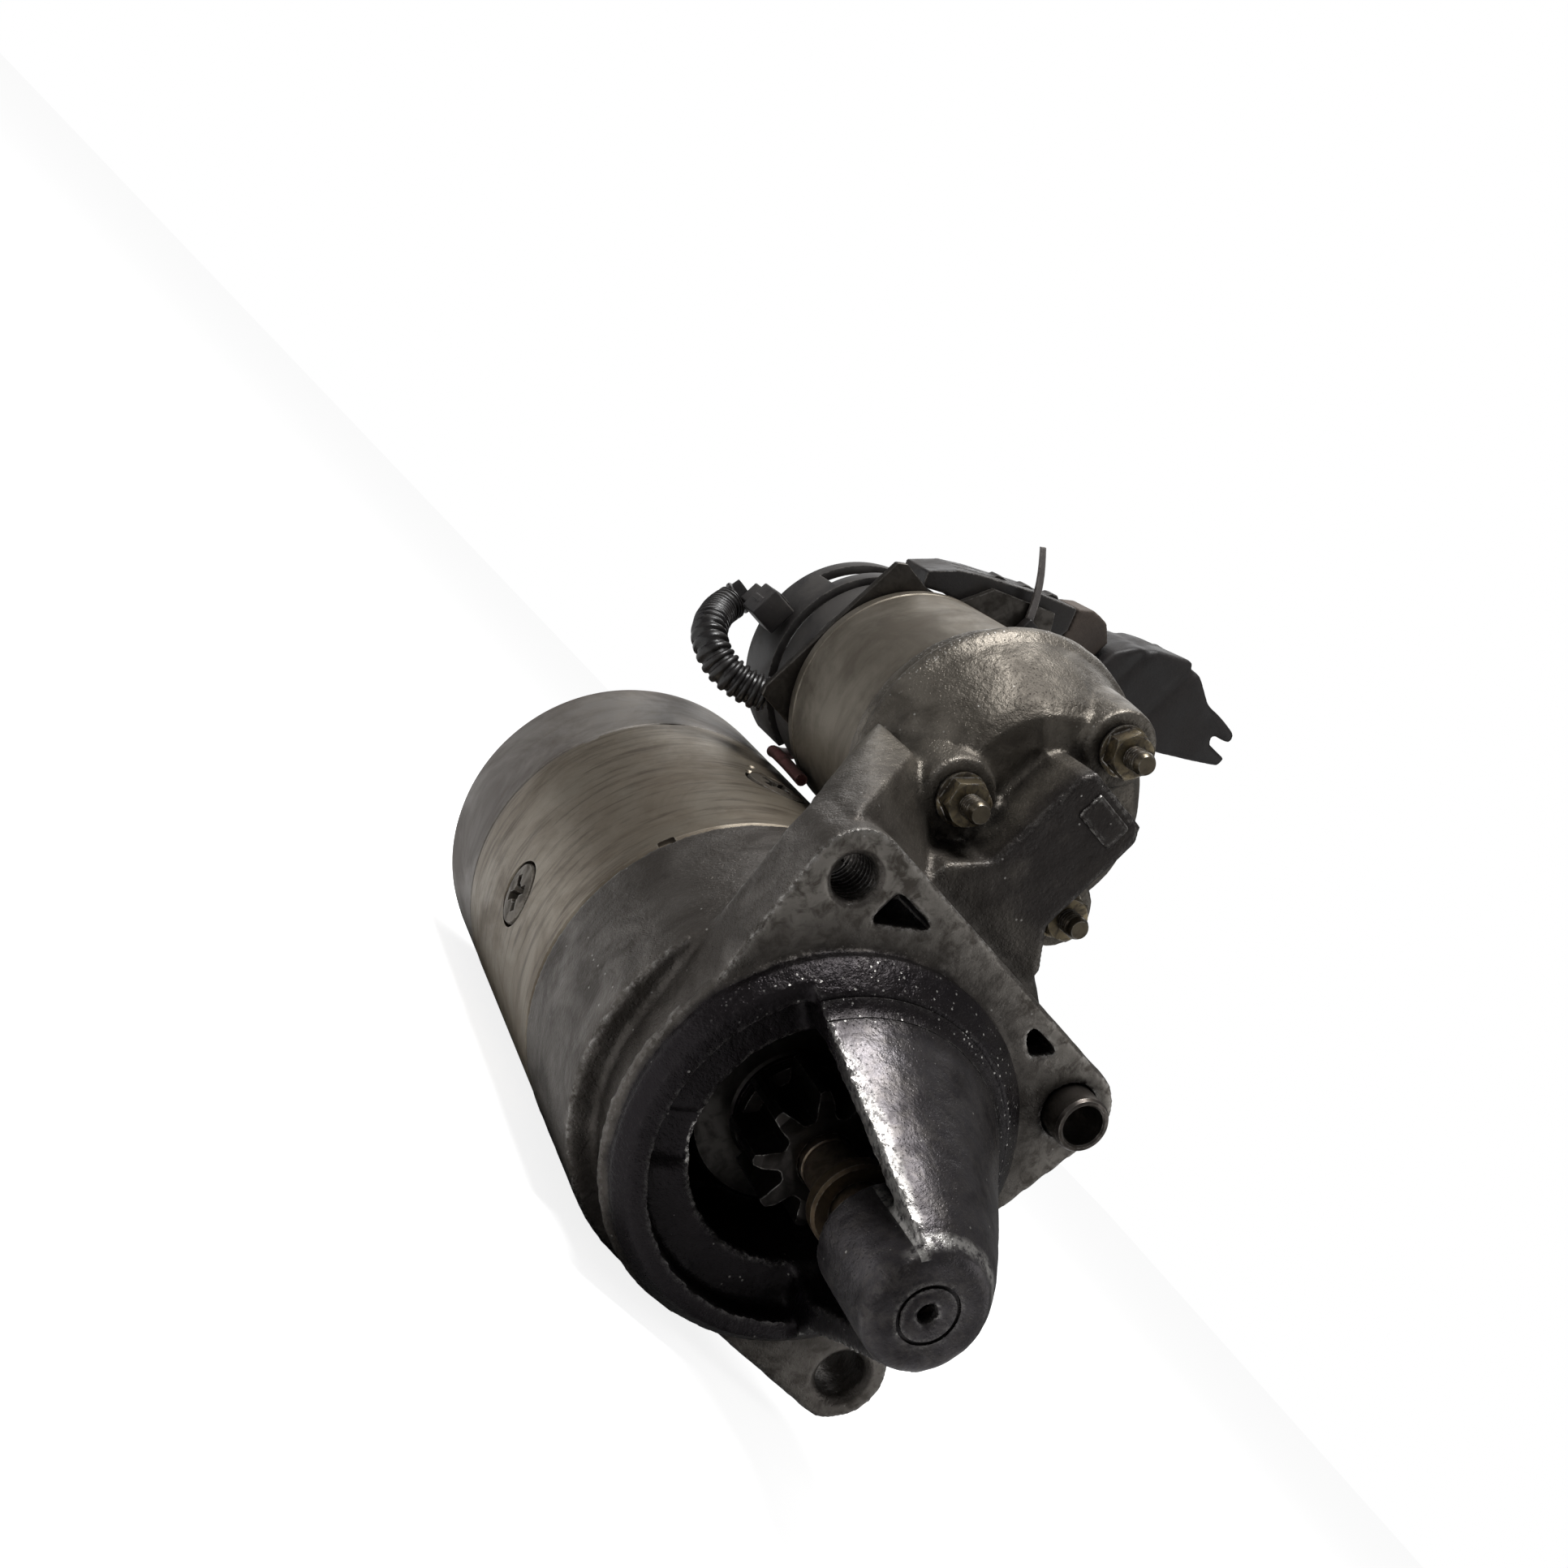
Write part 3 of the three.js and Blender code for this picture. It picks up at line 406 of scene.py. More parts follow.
def castPlaces(tree, vector):
    x, y, z = splitVector(tree, vector)
    wander = calc(tree, "SUBTRACT", noise(tree, vector, 130.0, 4.0, 0.6), 0.5)
    return {"vector": vector, "x": x, "y": y, "z": z, "ragged": times(tree, wander, 0.010),
            "axisR": distanceFromAxis(tree, x, z),
            "patches": useGroup(tree, "patches", Vector=vector, Scale=75.0, Low=0.4, High=0.64)["Mask"],
            "small": useGroup(tree, "patches", Vector=vector, Scale=340.0, Low=0.45, High=0.62)["Mask"]}


# share of a zone at a place, its border made uneven by the ragged noise
def zone(tree, at, name, value, unevenness=0.0):
    if unevenness:
        value = calc(tree, "ADD", value, times(tree, at["ragged"], unevenness))
    return remap(tree, value, *castZones[name])


# colour of the zones, with the machined face's and the nose's shares
def castSkin(tree, at):
    look = castLook
    ring, seat, nose = (mixColour(tree, at["patches"], shade(look[plain]), shade(look[stained])) for plain,
                        stained in (("ring", "ringPatch"), ("seat", "seatPatch"), ("nose", "noseDark")))
    nose = mixColour(tree, times(tree, at["small"], 0.25), nose, shade(look["ring"]))
    toSeat = zone(tree, at, "seatStart", at["z"], 1.0)
    colour = mixColour(tree, toSeat, ring, seat)
    # front of the lever block is dark and oily
    narrow = zone(tree, at, "blockHalf", calc(tree, "ABSOLUTE", at["x"]))
    block = times(tree, zone(tree, at, "blockFront", at["y"], 1.0), narrow, toSeat)
    colour = mixColour(tree, block, colour, shade(look["block"]))
    # machined face of the flange, oily near the nose
    level = times(tree, zone(tree, at, "flangeFacing", splitVector(tree, surfaceNormal(tree))[1]),
                  zone(tree, at, "flangeBack", at["y"]), zone(tree, at, "flangeFront", at["y"]))
    dry = times(tree, zone(tree, at, "oilReach", at["axisR"], 1.6),
                zone(tree, at, "oilHeight", at["z"], 1.0))
    face = times(tree, level, remap(tree, dry, 0.0, 1.0, 0.12, 1.0))
    worn = mixColour(tree, at["small"], shade(look["flange"]), shade(look["flangePatch"]))
    colour = mixColour(tree, face, colour, worn)
    # nose: greasy and dark, a little violet, the dome darkest
    toNose = zone(tree, at, "noseStart", at["y"], 0.3)
    dome = mixColour(tree, zone(tree, at, "domeEnd", at["y"]), shade(look["noseDark"]), nose)
    return mixColour(tree, toNose, colour, dome), face, toNose


# bright specks, painted glints that stand for highlights, on the dome's lit side, along the seat's ridge
# and, a few, everywhere
def castGlints(tree, at):
    vector = at["vector"]
    seatZ = calc(tree, "SUBTRACT", at["z"], solenoidHeight * mm)
    seatR = distanceFromAxis(tree, at["x"], seatZ)
    dome = times(tree, useGroup(tree, "glints", Vector=vector, Scale=1150.0, Share=0.16)["Mask"],
                 zone(tree, at, "domeGlintStart", at["y"], 1.0),
                 zone(tree, at, "domeGlintEnd", at["y"], 1.0), zone(tree, at, "litSide", at["z"], 1.5))
    ridge = times(tree, zone(tree, at, "ridgeRadius", seatR, 0.12), zone(tree, at, "ridgeFront", at["y"]))
    lip = times(tree, zone(tree, at, "lipBack", at["y"], 0.1), zone(tree, at, "lipRadius", seatR), 0.6)
    ridge = times(tree, calc(tree, "MAXIMUM", ridge, lip), zone(tree, at, "ridgeHeight", seatZ))
    ridge = times(tree, ridge, useGroup(tree, "glints", Vector=vector, Scale=1500.0, Share=0.42)["Mask"])
    few = times(tree, useGroup(tree, "glints", Vector=vector, Scale=1100.0, Share=0.012)["Mask"], 0.5)
    return calc(tree, "MAXIMUM", calc(tree, "MAXIMUM", dome, ridge), few)


# bright band where the opening's edge and the upper rim of the tip are rubbed: wear and a painted highlight
def castRubAndHighlight(tree, at):
    angle = calc(tree, "ARCTAN2", at["z"], at["x"])
    band = times(tree, zone(tree, at, "bandTurn", angle, 18.0),
                 calc(tree, "GREATER_THAN", angle, castRubHighlight["turn"]), zone(tree, at, "bandStart", at["y"]),
                 calc(tree, "GREATER_THAN", at["axisR"], castRubHighlight["radius"]))
    rim = times(tree, zone(tree, at, "rimBack", at["y"]), zone(tree, at, "rimFront", at["y"]),
                zone(tree, at, "rimTurn", angle))
    broken = zone(tree, at, "rubBreakup", noise(tree, at["vector"], 700.0, 4.0, 0.7))
    return times(tree, calc(tree, "MAXIMUM", band, rim), broken, castRubHighlight["strength"])


def castingFinish():
    look = castLook
    material, tree, bsdf, vector = startMaterial("castOily", place(0, 0, 0))
    at = castPlaces(tree, vector)
    colour, face, toNose = castSkin(tree, at)
    # painted shade: the inside of the mouth is darkened to the dome's darkest colour
    inside = times(tree, zone(tree, at, "mouthRadius", at["axisR"]), zone(tree, at, "mouthDepth", at["y"]))
    colour = mixColour(tree, inside, colour, shade(look["noseDark"]))
    # painted glints mixed into the colour with the wear colour
    glintMask = castGlints(tree, at)
    colour = mixColour(tree, glintMask, colour, shade(look["wearAndGlintColour"]))
    # rubbed band and painted highlight mixed into the colour
    colour = mixColour(tree, castRubAndHighlight(tree, at), colour, shade(look["wearAndGlintColour"]))
    rough = remap(tree, toNose, 0.0, 1.0, look["rough"], look["oilRough"])
    rough = calc(tree, "ADD", rough, remap(tree, at["patches"], 0.0, 1.0, -0.06, 0.08))
    rough = calc(tree, "SUBTRACT", rough, times(tree, glintMask, 0.15))
    grain = useGroup(tree, "castGrain", Vector=vector, Scale=1300.0)
    height = times(tree, grain["Height"], remap(tree, face, 0.0, 1.0, 1.0, 0.25),
                   zone(tree, at, "coneSmooth", at["y"]))
    onDome = times(tree, toNose, zone(tree, at, "domeWear", at["y"]))
    finishColour(tree, bsdf, look, vector, colour, rough, height, remap(tree, onDome, 0.0, 1.0, 1.0, 0.25))
    return material


axisSpot = tuple(place(0, 0, 0))
yokeLook = {"colour": (0.27, 0.235, 0.185), "patchColour": (0.17, 0.14, 0.105), "patchScale": 42.0,
            "rough": (0.38, 0.52), "metallic": 0.75, "ring": 0.75, "ringAround": 1.6, "ringAlong": 330.0,
            "stainColour": (0.075, 0.055, 0.038), "scratch": 0.6, "grainShare": 0.35, "grainScale": 2100.0,
            "pitShade": 0.12, "grimeShadeColour": (0.022, 0.016, 0.012), "wearAndGlintColour": (0.42, 0.39, 0.33),
            "wear": 0.5, "centre": axisSpot, "dust": 0.35, "dustColour": (0.24, 0.20, 0.15), "bump": 0.4,
            "bumpDepth": 0.00012, "grimeAndShade": 0.7, "grimeShadeReach": 0.004}
coverLook = dict(yokeLook, colour=(0.23, 0.215, 0.2), patchColour=(0.12, 0.105, 0.094), patchScale=36.0,
                 ring=0.3, ringAlong=150.0, grainScale=1700.0, grainShare=0.8, rough=(0.5, 0.62),
                 metallic=0.5)
caseLook = dict(yokeLook, colour=(0.225, 0.20, 0.162), patchColour=(0.125, 0.108, 0.086), patchScale=46.0,
                ring=0.3, ringAlong=180.0, rough=(0.45, 0.58), centre=tuple(place(0, 0, solenoidHeight)))
steelLook = {"colour": (0.20, 0.19, 0.175), "patchColour": (0.10, 0.092, 0.082), "patchScale": 240.0,
             "rough": (0.3, 0.45), "metallic": 0.9, "grimeShadeColour": (0.02, 0.016, 0.013),
             "wearAndGlintColour": (0.55, 0.53, 0.5), "grainScale": 2600.0, "pitShade": 0.1, "bump": 0.25,
             "bumpDepth": 0.0001, "dust": 0.2, "wearRadius": 0.0005, "grimeShadeReach": 0.003}
looks = {
    "yokeZinc": yokeLook, "coverCast": coverLook, "caseZinc": caseLook,
    "screwZinc": dict(steelLook, colour=(0.15, 0.13, 0.105), patchColour=(0.07, 0.058, 0.045),
                      metallic=0.7, rough=(0.42, 0.6)),
    "nutZinc": dict(steelLook, colour=(0.24, 0.195, 0.12), patchColour=(0.07, 0.058, 0.046), metallic=0.85,
                    rough=(0.28, 0.5), wear=0.95, wearReach=0.07, patchScale=380.0),
    "studZinc": dict(steelLook, colour=(0.12, 0.10, 0.07), patchColour=(0.05, 0.04, 0.03), metallic=0.85,
                     rough=(0.3, 0.5), wear=0.6),
    "dowelSteel": dict(steelLook, colour=(0.12, 0.105, 0.095), patchColour=(0.05, 0.042, 0.036)),
    "shaftSteel": dict(steelLook, colour=(0.20, 0.155, 0.11), patchColour=(0.09, 0.066, 0.046),
                       rough=(0.32, 0.44)),
    # pinion: greasy steel, its colour darkened to near black as painted shade inside the nose
    "pinionSteelShaded": dict(steelLook, colour=(0.034, 0.03, 0.028), patchColour=(0.016, 0.014, 0.013),
                        wear=0.7),
    "driveSteel": dict(steelLook, colour=(0.035, 0.032, 0.03), patchColour=(0.018, 0.016, 0.015),
                       wear=0.3),
    "boltSteel": dict(steelLook, colour=(0.22, 0.20, 0.165), patchColour=(0.11, 0.09, 0.07)),
    "plateSteel": dict(steelLook, colour=(0.09, 0.082, 0.074), patchColour=(0.045, 0.04, 0.035),
                       rough=(0.4, 0.55), wear=1.0),
    "springSteel": dict(steelLook, colour=(0.25, 0.25, 0.26)),
    "coreIron": dict(steelLook, colour=(0.09, 0.088, 0.085), patchColour=(0.05, 0.042, 0.035),
                     rough=(0.5, 0.65), ring=0.5, ringAlong=900.0, stainColour=(0.05, 0.035, 0.025),
                     scratch=1.2, grainShare=0.4, centre=axisSpot),
    "bronze": dict(steelLook, colour=(0.09, 0.065, 0.04), patchColour=(0.045, 0.032, 0.02),
                   rough=(0.42, 0.6), wear=0.4),
    "copper": dict(steelLook, colour=(0.40, 0.19, 0.09), patchColour=(0.22, 0.10, 0.05),
                   rough=(0.32, 0.48)),
    "enamelCopper": dict(steelLook, colour=(0.28, 0.09, 0.035), patchColour=(0.16, 0.05, 0.02),
                         metallic=0.7, ring=0.5, ringAlong=1200.0, stainColour=(0.08, 0.025, 0.012),
                         scratch=1.4, grainShare=0.2, centre=axisSpot),
    "carbon": {"colour": (0.03, 0.03, 0.032), "patchColour": (0.05, 0.048, 0.045), "rough": (0.55, 0.7),
               "metallic": 0.2, "grimeShadeColour": (0.01, 0.01, 0.01), "wearAndGlintColour": (0.12, 0.12, 0.12)},
    "capPlastic": {"colour": (0.024, 0.022, 0.022), "patchColour": (0.042, 0.038, 0.035),
                   "rough": (0.5, 0.66), "grimeShadeColour": (0.008, 0.006, 0.006),
                   "wearAndGlintColour": (0.14, 0.13, 0.12), "grainScale": 2200.0, "pitShade": 0.1, "bump": 0.2,
                   "dust": 0.35, "dustColour": (0.09, 0.08, 0.07)},
    "guidePlastic": {"colour": (0.014, 0.012, 0.012), "patchColour": (0.028, 0.024, 0.022),
                     "rough": (0.4, 0.6), "grimeShadeColour": (0.01, 0.008, 0.007),
                     "wearAndGlintColour": (0.28, 0.26, 0.24), "grainScale": 2400.0, "pitShade": 0.1, "bump": 0.25,
                     "dust": 0.25, "dustColour": (0.09, 0.08, 0.07), "wear": 0.9, "wearRadius": 0.0007},
    "lugPlastic": {"colour": (0.055, 0.040, 0.032), "patchColour": (0.095, 0.072, 0.058),
                   "rough": (0.55, 0.7), "grimeShadeColour": (0.02, 0.014, 0.011),
                   "wearAndGlintColour": (0.24, 0.2, 0.17), "dust": 0.5, "dustColour": (0.2, 0.17, 0.14),
                   "grainScale": 1500.0, "bump": 0.35},
    "bootRubber": {"colour": (0.010, 0.008, 0.008), "patchColour": (0.022, 0.018, 0.017),
                   "patchScale": 55.0, "rough": (0.5, 0.68), "grimeShadeColour": (0.006, 0.005, 0.005),
                   "wearAndGlintColour": (0.09, 0.08, 0.075), "wear": 0.45, "dust": 0.18,
                   "dustColour": (0.05, 0.044, 0.04), "grainScale": 1800.0, "pitShade": 0.15,
                   "bump": 0.35},
    "tiePlastic": {"colour": (0.16, 0.145, 0.14), "patchColour": (0.2, 0.185, 0.175), "rough": (0.4, 0.55),
                   "grimeShadeColour": (0.05, 0.045, 0.04), "wearAndGlintColour": (0.4, 0.38, 0.36), "dust": 0.2},
    "conduitPlastic": {"colour": (0.009, 0.008, 0.009), "patchColour": (0.02, 0.018, 0.017),
                       "rough": (0.22, 0.42), "grimeShadeColour": (0.006, 0.005, 0.005),
                       "wearAndGlintColour": (0.14, 0.13, 0.125), "wear": 0.4, "dust": 0.15,
                       "dustColour": (0.07, 0.062, 0.056), "grainScale": 2000.0, "bump": 0.2},
    "connectorPlastic": {"colour": (0.022, 0.020, 0.021), "patchColour": (0.035, 0.031, 0.03),
                         "rough": (0.45, 0.6), "grimeShadeColour": (0.008, 0.007, 0.007),
                         "wearAndGlintColour": (0.14, 0.13, 0.13), "dust": 0.3, "bump": 0.25,
                         "grainScale": 2000.0},
    "redSleeve": {"colour": (0.13, 0.026, 0.026), "patchColour": (0.08, 0.02, 0.018), "patchScale": 300.0,
                  "rough": (0.6, 0.75), "grimeShadeColour": (0.03, 0.01, 0.008),
                  "wearAndGlintColour": (0.35, 0.2, 0.18), "grainScale": 1600.0, "bump": 0.6, "dust": 0.3},
    "collarPlastic": {"colour": (0.045, 0.042, 0.04), "patchColour": (0.07, 0.064, 0.058),
                      "rough": (0.4, 0.55), "grimeShadeColour": (0.012, 0.01, 0.009),
                      "wearAndGlintColour": (0.2, 0.19, 0.18), "dust": 0.1},
}
materials = {name: plainFinish(name, look) for name, look in looks.items()}
materials["castOily"] = castingFinish()
print("materials made")


def clearSelection():
    if bpy.context.object and bpy.context.object.mode != "OBJECT":
        bpy.ops.object.mode_set(mode="OBJECT")
    bpy.ops.object.select_all(action="DESELECT")


def pick(piece):
    clearSelection()
    bpy.context.view_layer.objects.active = piece
    piece.select_set(True)


def editAll(piece):
    pick(piece)
    bpy.ops.object.mode_set(mode="EDIT")
    bpy.ops.mesh.select_all(action="SELECT")


def applyPlace(piece):
    pick(piece)
    bpy.ops.object.transform_apply(location=True, rotation=True, scale=True)


def applyModifier(piece, kind, **settings):
    pick(piece)
    modifier = piece.modifiers.new(kind.lower(), kind)
    for key, value in settings.items():
        setattr(modifier, key, value)
    bpy.ops.object.modifier_apply(modifier=modifier.name)


def cutWith(piece, cutter, operation="DIFFERENCE", solver="EXACT"):
    applyModifier(piece, "BOOLEAN", object=cutter, operation=operation, solver=solver)
    bpy.data.objects.remove(cutter)


def joinAll(pieces, name):
    pick(pieces[0])
    for other in pieces[1:]:
        other.select_set(True)
    bpy.ops.object.join()
    pieces[0].name = name
    return pieces[0]


# rings are (radius, y) in mm, worked from one end: a circle is extruded and scaled ring by ring
def turnedPiece(name, rings, x=0.0, z=0.0, segments=128):
    rings = list(rings)
    capStart = rings[0][0] == 0
    if capStart:
        rings = rings[1:]
    clearSelection()
    bpy.ops.mesh.primitive_circle_add(vertices=segments, radius=rings[0][0] * mm,
                                      location=place(x, rings[0][1], z),
                                      fill_type="TRIFAN" if capStart else "NOTHING",
                                      rotation=(math.pi / 2, 0, 0))
    piece = bpy.context.object
    piece.name = name
    applyPlace(piece)
    editAll(piece)
    if capStart:
        bpy.ops.mesh.select_mode(type="EDGE")
        bpy.ops.mesh.select_all(action="SELECT")
        bpy.ops.mesh.region_to_loop()
    for (oldR, oldY), (newR, newY) in zip(rings, rings[1:]):
        bpy.ops.mesh.extrude_edges_move(TRANSFORM_OT_translate={"value": (0, (newY - oldY) * mm, 0)})
        if newR != oldR:
            k = max(newR, 0.001) / max(oldR, 0.001)
            bpy.ops.transform.resize(value=(k, 1, k), center_override=place(x, newY, z))
    if rings[-1][0] == 0:
        bpy.ops.mesh.merge(type="CENTER")
    bpy.ops.mesh.select_mode(type="VERT")
    bpy.ops.mesh.select_all(action="SELECT")
    bpy.ops.mesh.remove_doubles(threshold=0.000002)
    bpy.ops.mesh.normals_make_consistent(inside=False)
    bpy.ops.object.mode_set(mode="OBJECT")
    return piece


def rodPiece(name, radius, y0, y1, x=0.0, z=0.0, segments=64):
    return turnedPiece(name, [(0, y0), (radius, y0), (radius, y1), (0, y1)], x, z, segments)


def boxPiece(name, x0, x1, y0, y1, z0, z1):
    clearSelection()
    size = Vector((x1 - x0, y1 - y0, z1 - z0)) * mm
    bpy.ops.mesh.primitive_cube_add(size=1, location=place((x0 + x1) / 2, (y0 + y1) / 2, (z0 + z1) / 2),
                                    scale=size)
    piece = bpy.context.object
    piece.name = name
    applyPlace(piece)
    return piece


# the piece turns about the point start, which is then carried to the point end, all in mm
def turnPiece(piece, axis, degrees, start=(0, 0, 0), end=(0, 0, 0)):
    turn = Matrix.Rotation(math.radians(degrees), 4, axis)
    piece.matrix_world = Matrix.Translation(place(*end)) @ turn @ Matrix.Translation(-place(*start))
    applyPlace(piece)
    return piece


# turn about the motor axis, from +X towards +Z
def turnAboutAxis(piece, degrees):
    return turnPiece(piece, "Y", -degrees)


# a piece turned about Y through the motor axis is laid along +X, and its y = 0 goes to the axis
def layRadial(piece, y):
    return turnPiece(piece, "Z", -90, end=(0, y, 0))


def softenEdges(piece, width, segments, angle=None):
    limit = {"limit_method": "NONE"}
    if angle:
        limit = {"limit_method": "ANGLE", "angle_limit": math.radians(angle)}
    applyModifier(piece, "BEVEL", width=width * mm, segments=segments, **limit)


# own copy of a CAD node's mesh, its doubled points merged
def copyNode(nodeName, name):
    source = cadNodes[nodeName]
    piece = bpy.data.objects.new(name, source.data.copy())
    bpy.context.scene.collection.objects.link(piece)
    piece.data.materials.clear()
    editAll(piece)
    bpy.ops.mesh.remove_doubles(threshold=0.000005)
    bpy.ops.object.mode_set(mode="OBJECT")
    return piece


def softCopy(nodeName, name, voxel, smoothing):
    piece = copyNode(nodeName, name)
    applyModifier(piece, "REMESH", mode="VOXEL", voxel_size=voxel * mm)
    applyModifier(piece, "SMOOTH", factor=0.5, iterations=smoothing)
    return piece


def keepPiece(piece, body, replaced, materialName, angle=32):
    piece.data.materials.clear()
    piece.data.materials.append(materials[materialName])
    pick(piece)
    if angle:
        bpy.ops.object.shade_smooth_by_angle(angle=math.radians(angle))
    else:
        bpy.ops.object.shade_smooth()
    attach(piece, body)
    if replaced:
        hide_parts(replaced)
    return piece


makeCamera()
makeStudio()
print("camera and light made")


floorLook = {"size": 6.0, "colour": (0.8, 0.8, 0.8), "rough": 0.9, "glow": 0.85, "gap": 0.0005}


# pale paint, with a glow that only the camera sees so that the far floor stays as pale as the near
def floorPaint():
    material = bpy.data.materials.new("floorPaint")
    material.use_nodes = True
    tree = material.node_tree
    paint = tree.nodes["Principled BSDF"]
    paint.inputs["Base Color"].default_value = shade(floorLook["colour"])
    paint.inputs["Roughness"].default_value = floorLook["rough"]
    glow = addNode(tree, "ShaderNodeEmission", {"Color": (1, 1, 1, 1), "Strength": floorLook["glow"]})
    both = addNode(tree, "ShaderNodeAddShader", {0: glow.outputs[0], 1: paint.outputs[0]})
    cameraRay = addNode(tree, "ShaderNodeLightPath").outputs[0]
    seen = addNode(tree, "ShaderNodeMixShader", {0: cameraRay, 1: paint.outputs[0], 2: both.outputs[0]})
    tree.links.new(seen.outputs[0], tree.nodes["Material Output"].inputs["Surface"])
    return material


def makeFloor():
    clearSelection()
    bpy.ops.mesh.primitive_plane_add(size=floorLook["size"],
                                     location=(0, 0, cadBounds[0].z - floorLook["gap"]))
    floor = bpy.context.object
    floor.name = "floor"
    floor.data.materials.append(floorPaint())


makeFloor()

housing = {"voxel": 0.78, "smoothing": 3, "limit": 190000, "relief": 0.32, "reliefScale": 0.0045,
           "ringR": 45.3, "ringEnds": (1.2, 37.8), "roundTol": 0.55,
           "castPad": (-6.2, 4.6, 39.4, 40.95, 80.6, 86.8), "threadedLug": (37.1, 40.0),
           "plainLug": (-45.9, -30.3), "dowelLug": (-35.9, 39.7),
           "domeGrooves": [(35.6, 63.4, 0.3), (32.9, 66.3, 0.4)],
           "noseProfile": [(41.0, 55.6), (41.0, 58.0), (39.4, 60.0), (36.6, 62.8), (33.9, 64.6),
                           (33.1, 65.4), (32.6, 66.4), (30.0, 72.0), (26.0, 80.0), (21.5, 90.0),
                           (17.7, 98.0), (14.5, 104.0)], "seatProfile": [(31.4, -6.0), (32.0, -5.2),
                                                                         (32.0, -2.8), (31.3, -1.6),
                                                                         (31.8, -0.6), (33.7, 0.9),
                                                                         (34.3, 2.6), (33.8, 4.4),
                                                                         (32.2, 6.6), (30.9, 10.0),
                                                                         (29.2, 13.4), (24.0, 22.5)]}


# facets of a turned surface are taken out: points near the true profile move onto it
def roundOff(piece, x, z, profile, tolerance):
    centre = place(x, 0, z)
    for v in piece.data.vertices:
        y = (v.co.y - centre.y) / mm
        if not profile[0][1] <= y <= profile[-1][1]:
            continue
        for (r0, y0), (r1, y1) in zip(profile, profile[1:]):
            if y <= y1:
                target = r0 + (r1 - r0) * (y - y0) / max(y1 - y0, 0.001)
                break
        dx, dz = v.co.x - centre.x, v.co.z - centre.z
        r = math.hypot(dx, dz) / mm
        miss = abs(r - target)
        if miss < tolerance and r > 1:
            share = min(1.0, 2.0 * (1 - miss / tolerance))
            k = 1 + share * (target / r - 1)
            v.co.x, v.co.z = centre.x + dx * k, centre.z + dz * k


def threadRings(radius, depth, y0, y1, pitch):
    rings = [(0, y0), (radius, y0)]
    y = y0 + pitch * 0.5
    while y + pitch < y1:
        rings += [(radius, y), (radius + depth, y + pitch * 0.5), (radius, y + pitch)]
        y += pitch
    return rings + [(radius, y1), (0, y1)]


# holes of the three lugs, the centre hole and ring of the nose's tip, and two fine grooves round the dome
def housingCutters():
    cutters = []
    for radius, y, depth in housing["domeGrooves"]:
        inner, outer = radius - depth, radius + 1.2
        groove = [(inner, y - 0.35), (outer, y - 0.35), (outer, y + 0.35), (inner, y + 0.35),
                  (inner, y - 0.35)]
        cutters.append(turnedPiece("cutDome", groove, 0, 0, 128))
    x, z = housing["threadedLug"]
    cutters.append(turnedPiece("cutThread", threadRings(4.35, 0.55, 36, 57, 1.5), x, z, 48))
    cutters.append(turnedPiece("cutThreadEdge", [(0, 53.6), (4.4, 53.6), (6.0, 55.2), (6.0, 57.5),
                                                 (0, 57.5)], x, z, 64))
    plain = [(0, 30), (5.3, 30), (5.3, 53.4), (7.0, 55.1), (7.0, 57), (0, 57)]
    cutters.append(turnedPiece("cutPlain", plain, *housing["plainLug"], 64))
    seat = [(0, 44), (5.95, 44), (5.95, 54.5), (6.6, 55.1), (6.6, 57), (0, 57)]
    cutters.append(turnedPiece("cutDowel", seat, *housing["dowelLug"], 64))
    tip = [(0, 103), (1.8, 103), (1.8, 108.2), (2.4, 109.2), (2.4, 111), (0, 111)]
    cutters.append(turnedPiece("cutTip", tip, 0, 0, 48))
    ring = [(5.1, 108.3), (5.8, 108.3), (5.8, 110), (5.1, 110), (5.1, 108.3)]
    cutters.append(turnedPiece("cutRing", ring, 0, 0, 96))
    return cutters


def makeHousing():
    piece = softCopy("drive_housing", "driveHousing", housing["voxel"], housing["smoothing"])
    tolerance = housing["roundTol"]
    roundOff(piece, 0, 0, [(housing["ringR"], y) for y in housing["ringEnds"]], tolerance)
    roundOff(piece, 0, 0, housing["noseProfile"], tolerance)
    roundOff(piece, 0, solenoidHeight, housing["seatProfile"], tolerance)
    lumps = bpy.data.textures.new("castLumps", "CLOUDS")
    lumps.noise_scale = housing["reliefScale"]
    lumps.noise_depth = 3
    applyModifier(piece, "DISPLACE", texture=lumps, texture_coords="LOCAL", strength=housing["relief"] * mm,
                  mid_level=0.9)
    pad = boxPiece("castPad", *housing["castPad"])
    softenEdges(pad, 1.1, 4)
    cutWith(piece, pad, operation="UNION", solver="MANIFOLD")
    for cutter in housingCutters():
        cutWith(piece, cutter, solver="MANIFOLD")
    triangles = sum(len(face.vertices) - 2 for face in piece.data.polygons)
    if triangles > housing["limit"]:
        applyModifier(piece, "DECIMATE", ratio=housing["limit"] / triangles)
    return keepPiece(piece, "motor", "drive_housing", "castOily", 40)


makeHousing()
print("housing made")

yoke = {"radius": 45.0, "inner": 40.0, "rear": -70.0, "edge": 0.6, "recess": (7.8, 42.45), "screwY": -33.0,
        "dimples": ((61.5, -38.5), (64.5, -44.0)), "notch": 22.0, "leadSpot": (12, -34, 38)}


def radialRod(name, radius, r0, r1, y, degrees, segments=64, rings=None):
    piece = turnedPiece(name, rings or [(0, r0), (radius, r0), (radius, r1), (0, r1)], 0, 0, segments)
    layRadial(piece, y)
    return turnAboutAxis(piece, degrees)


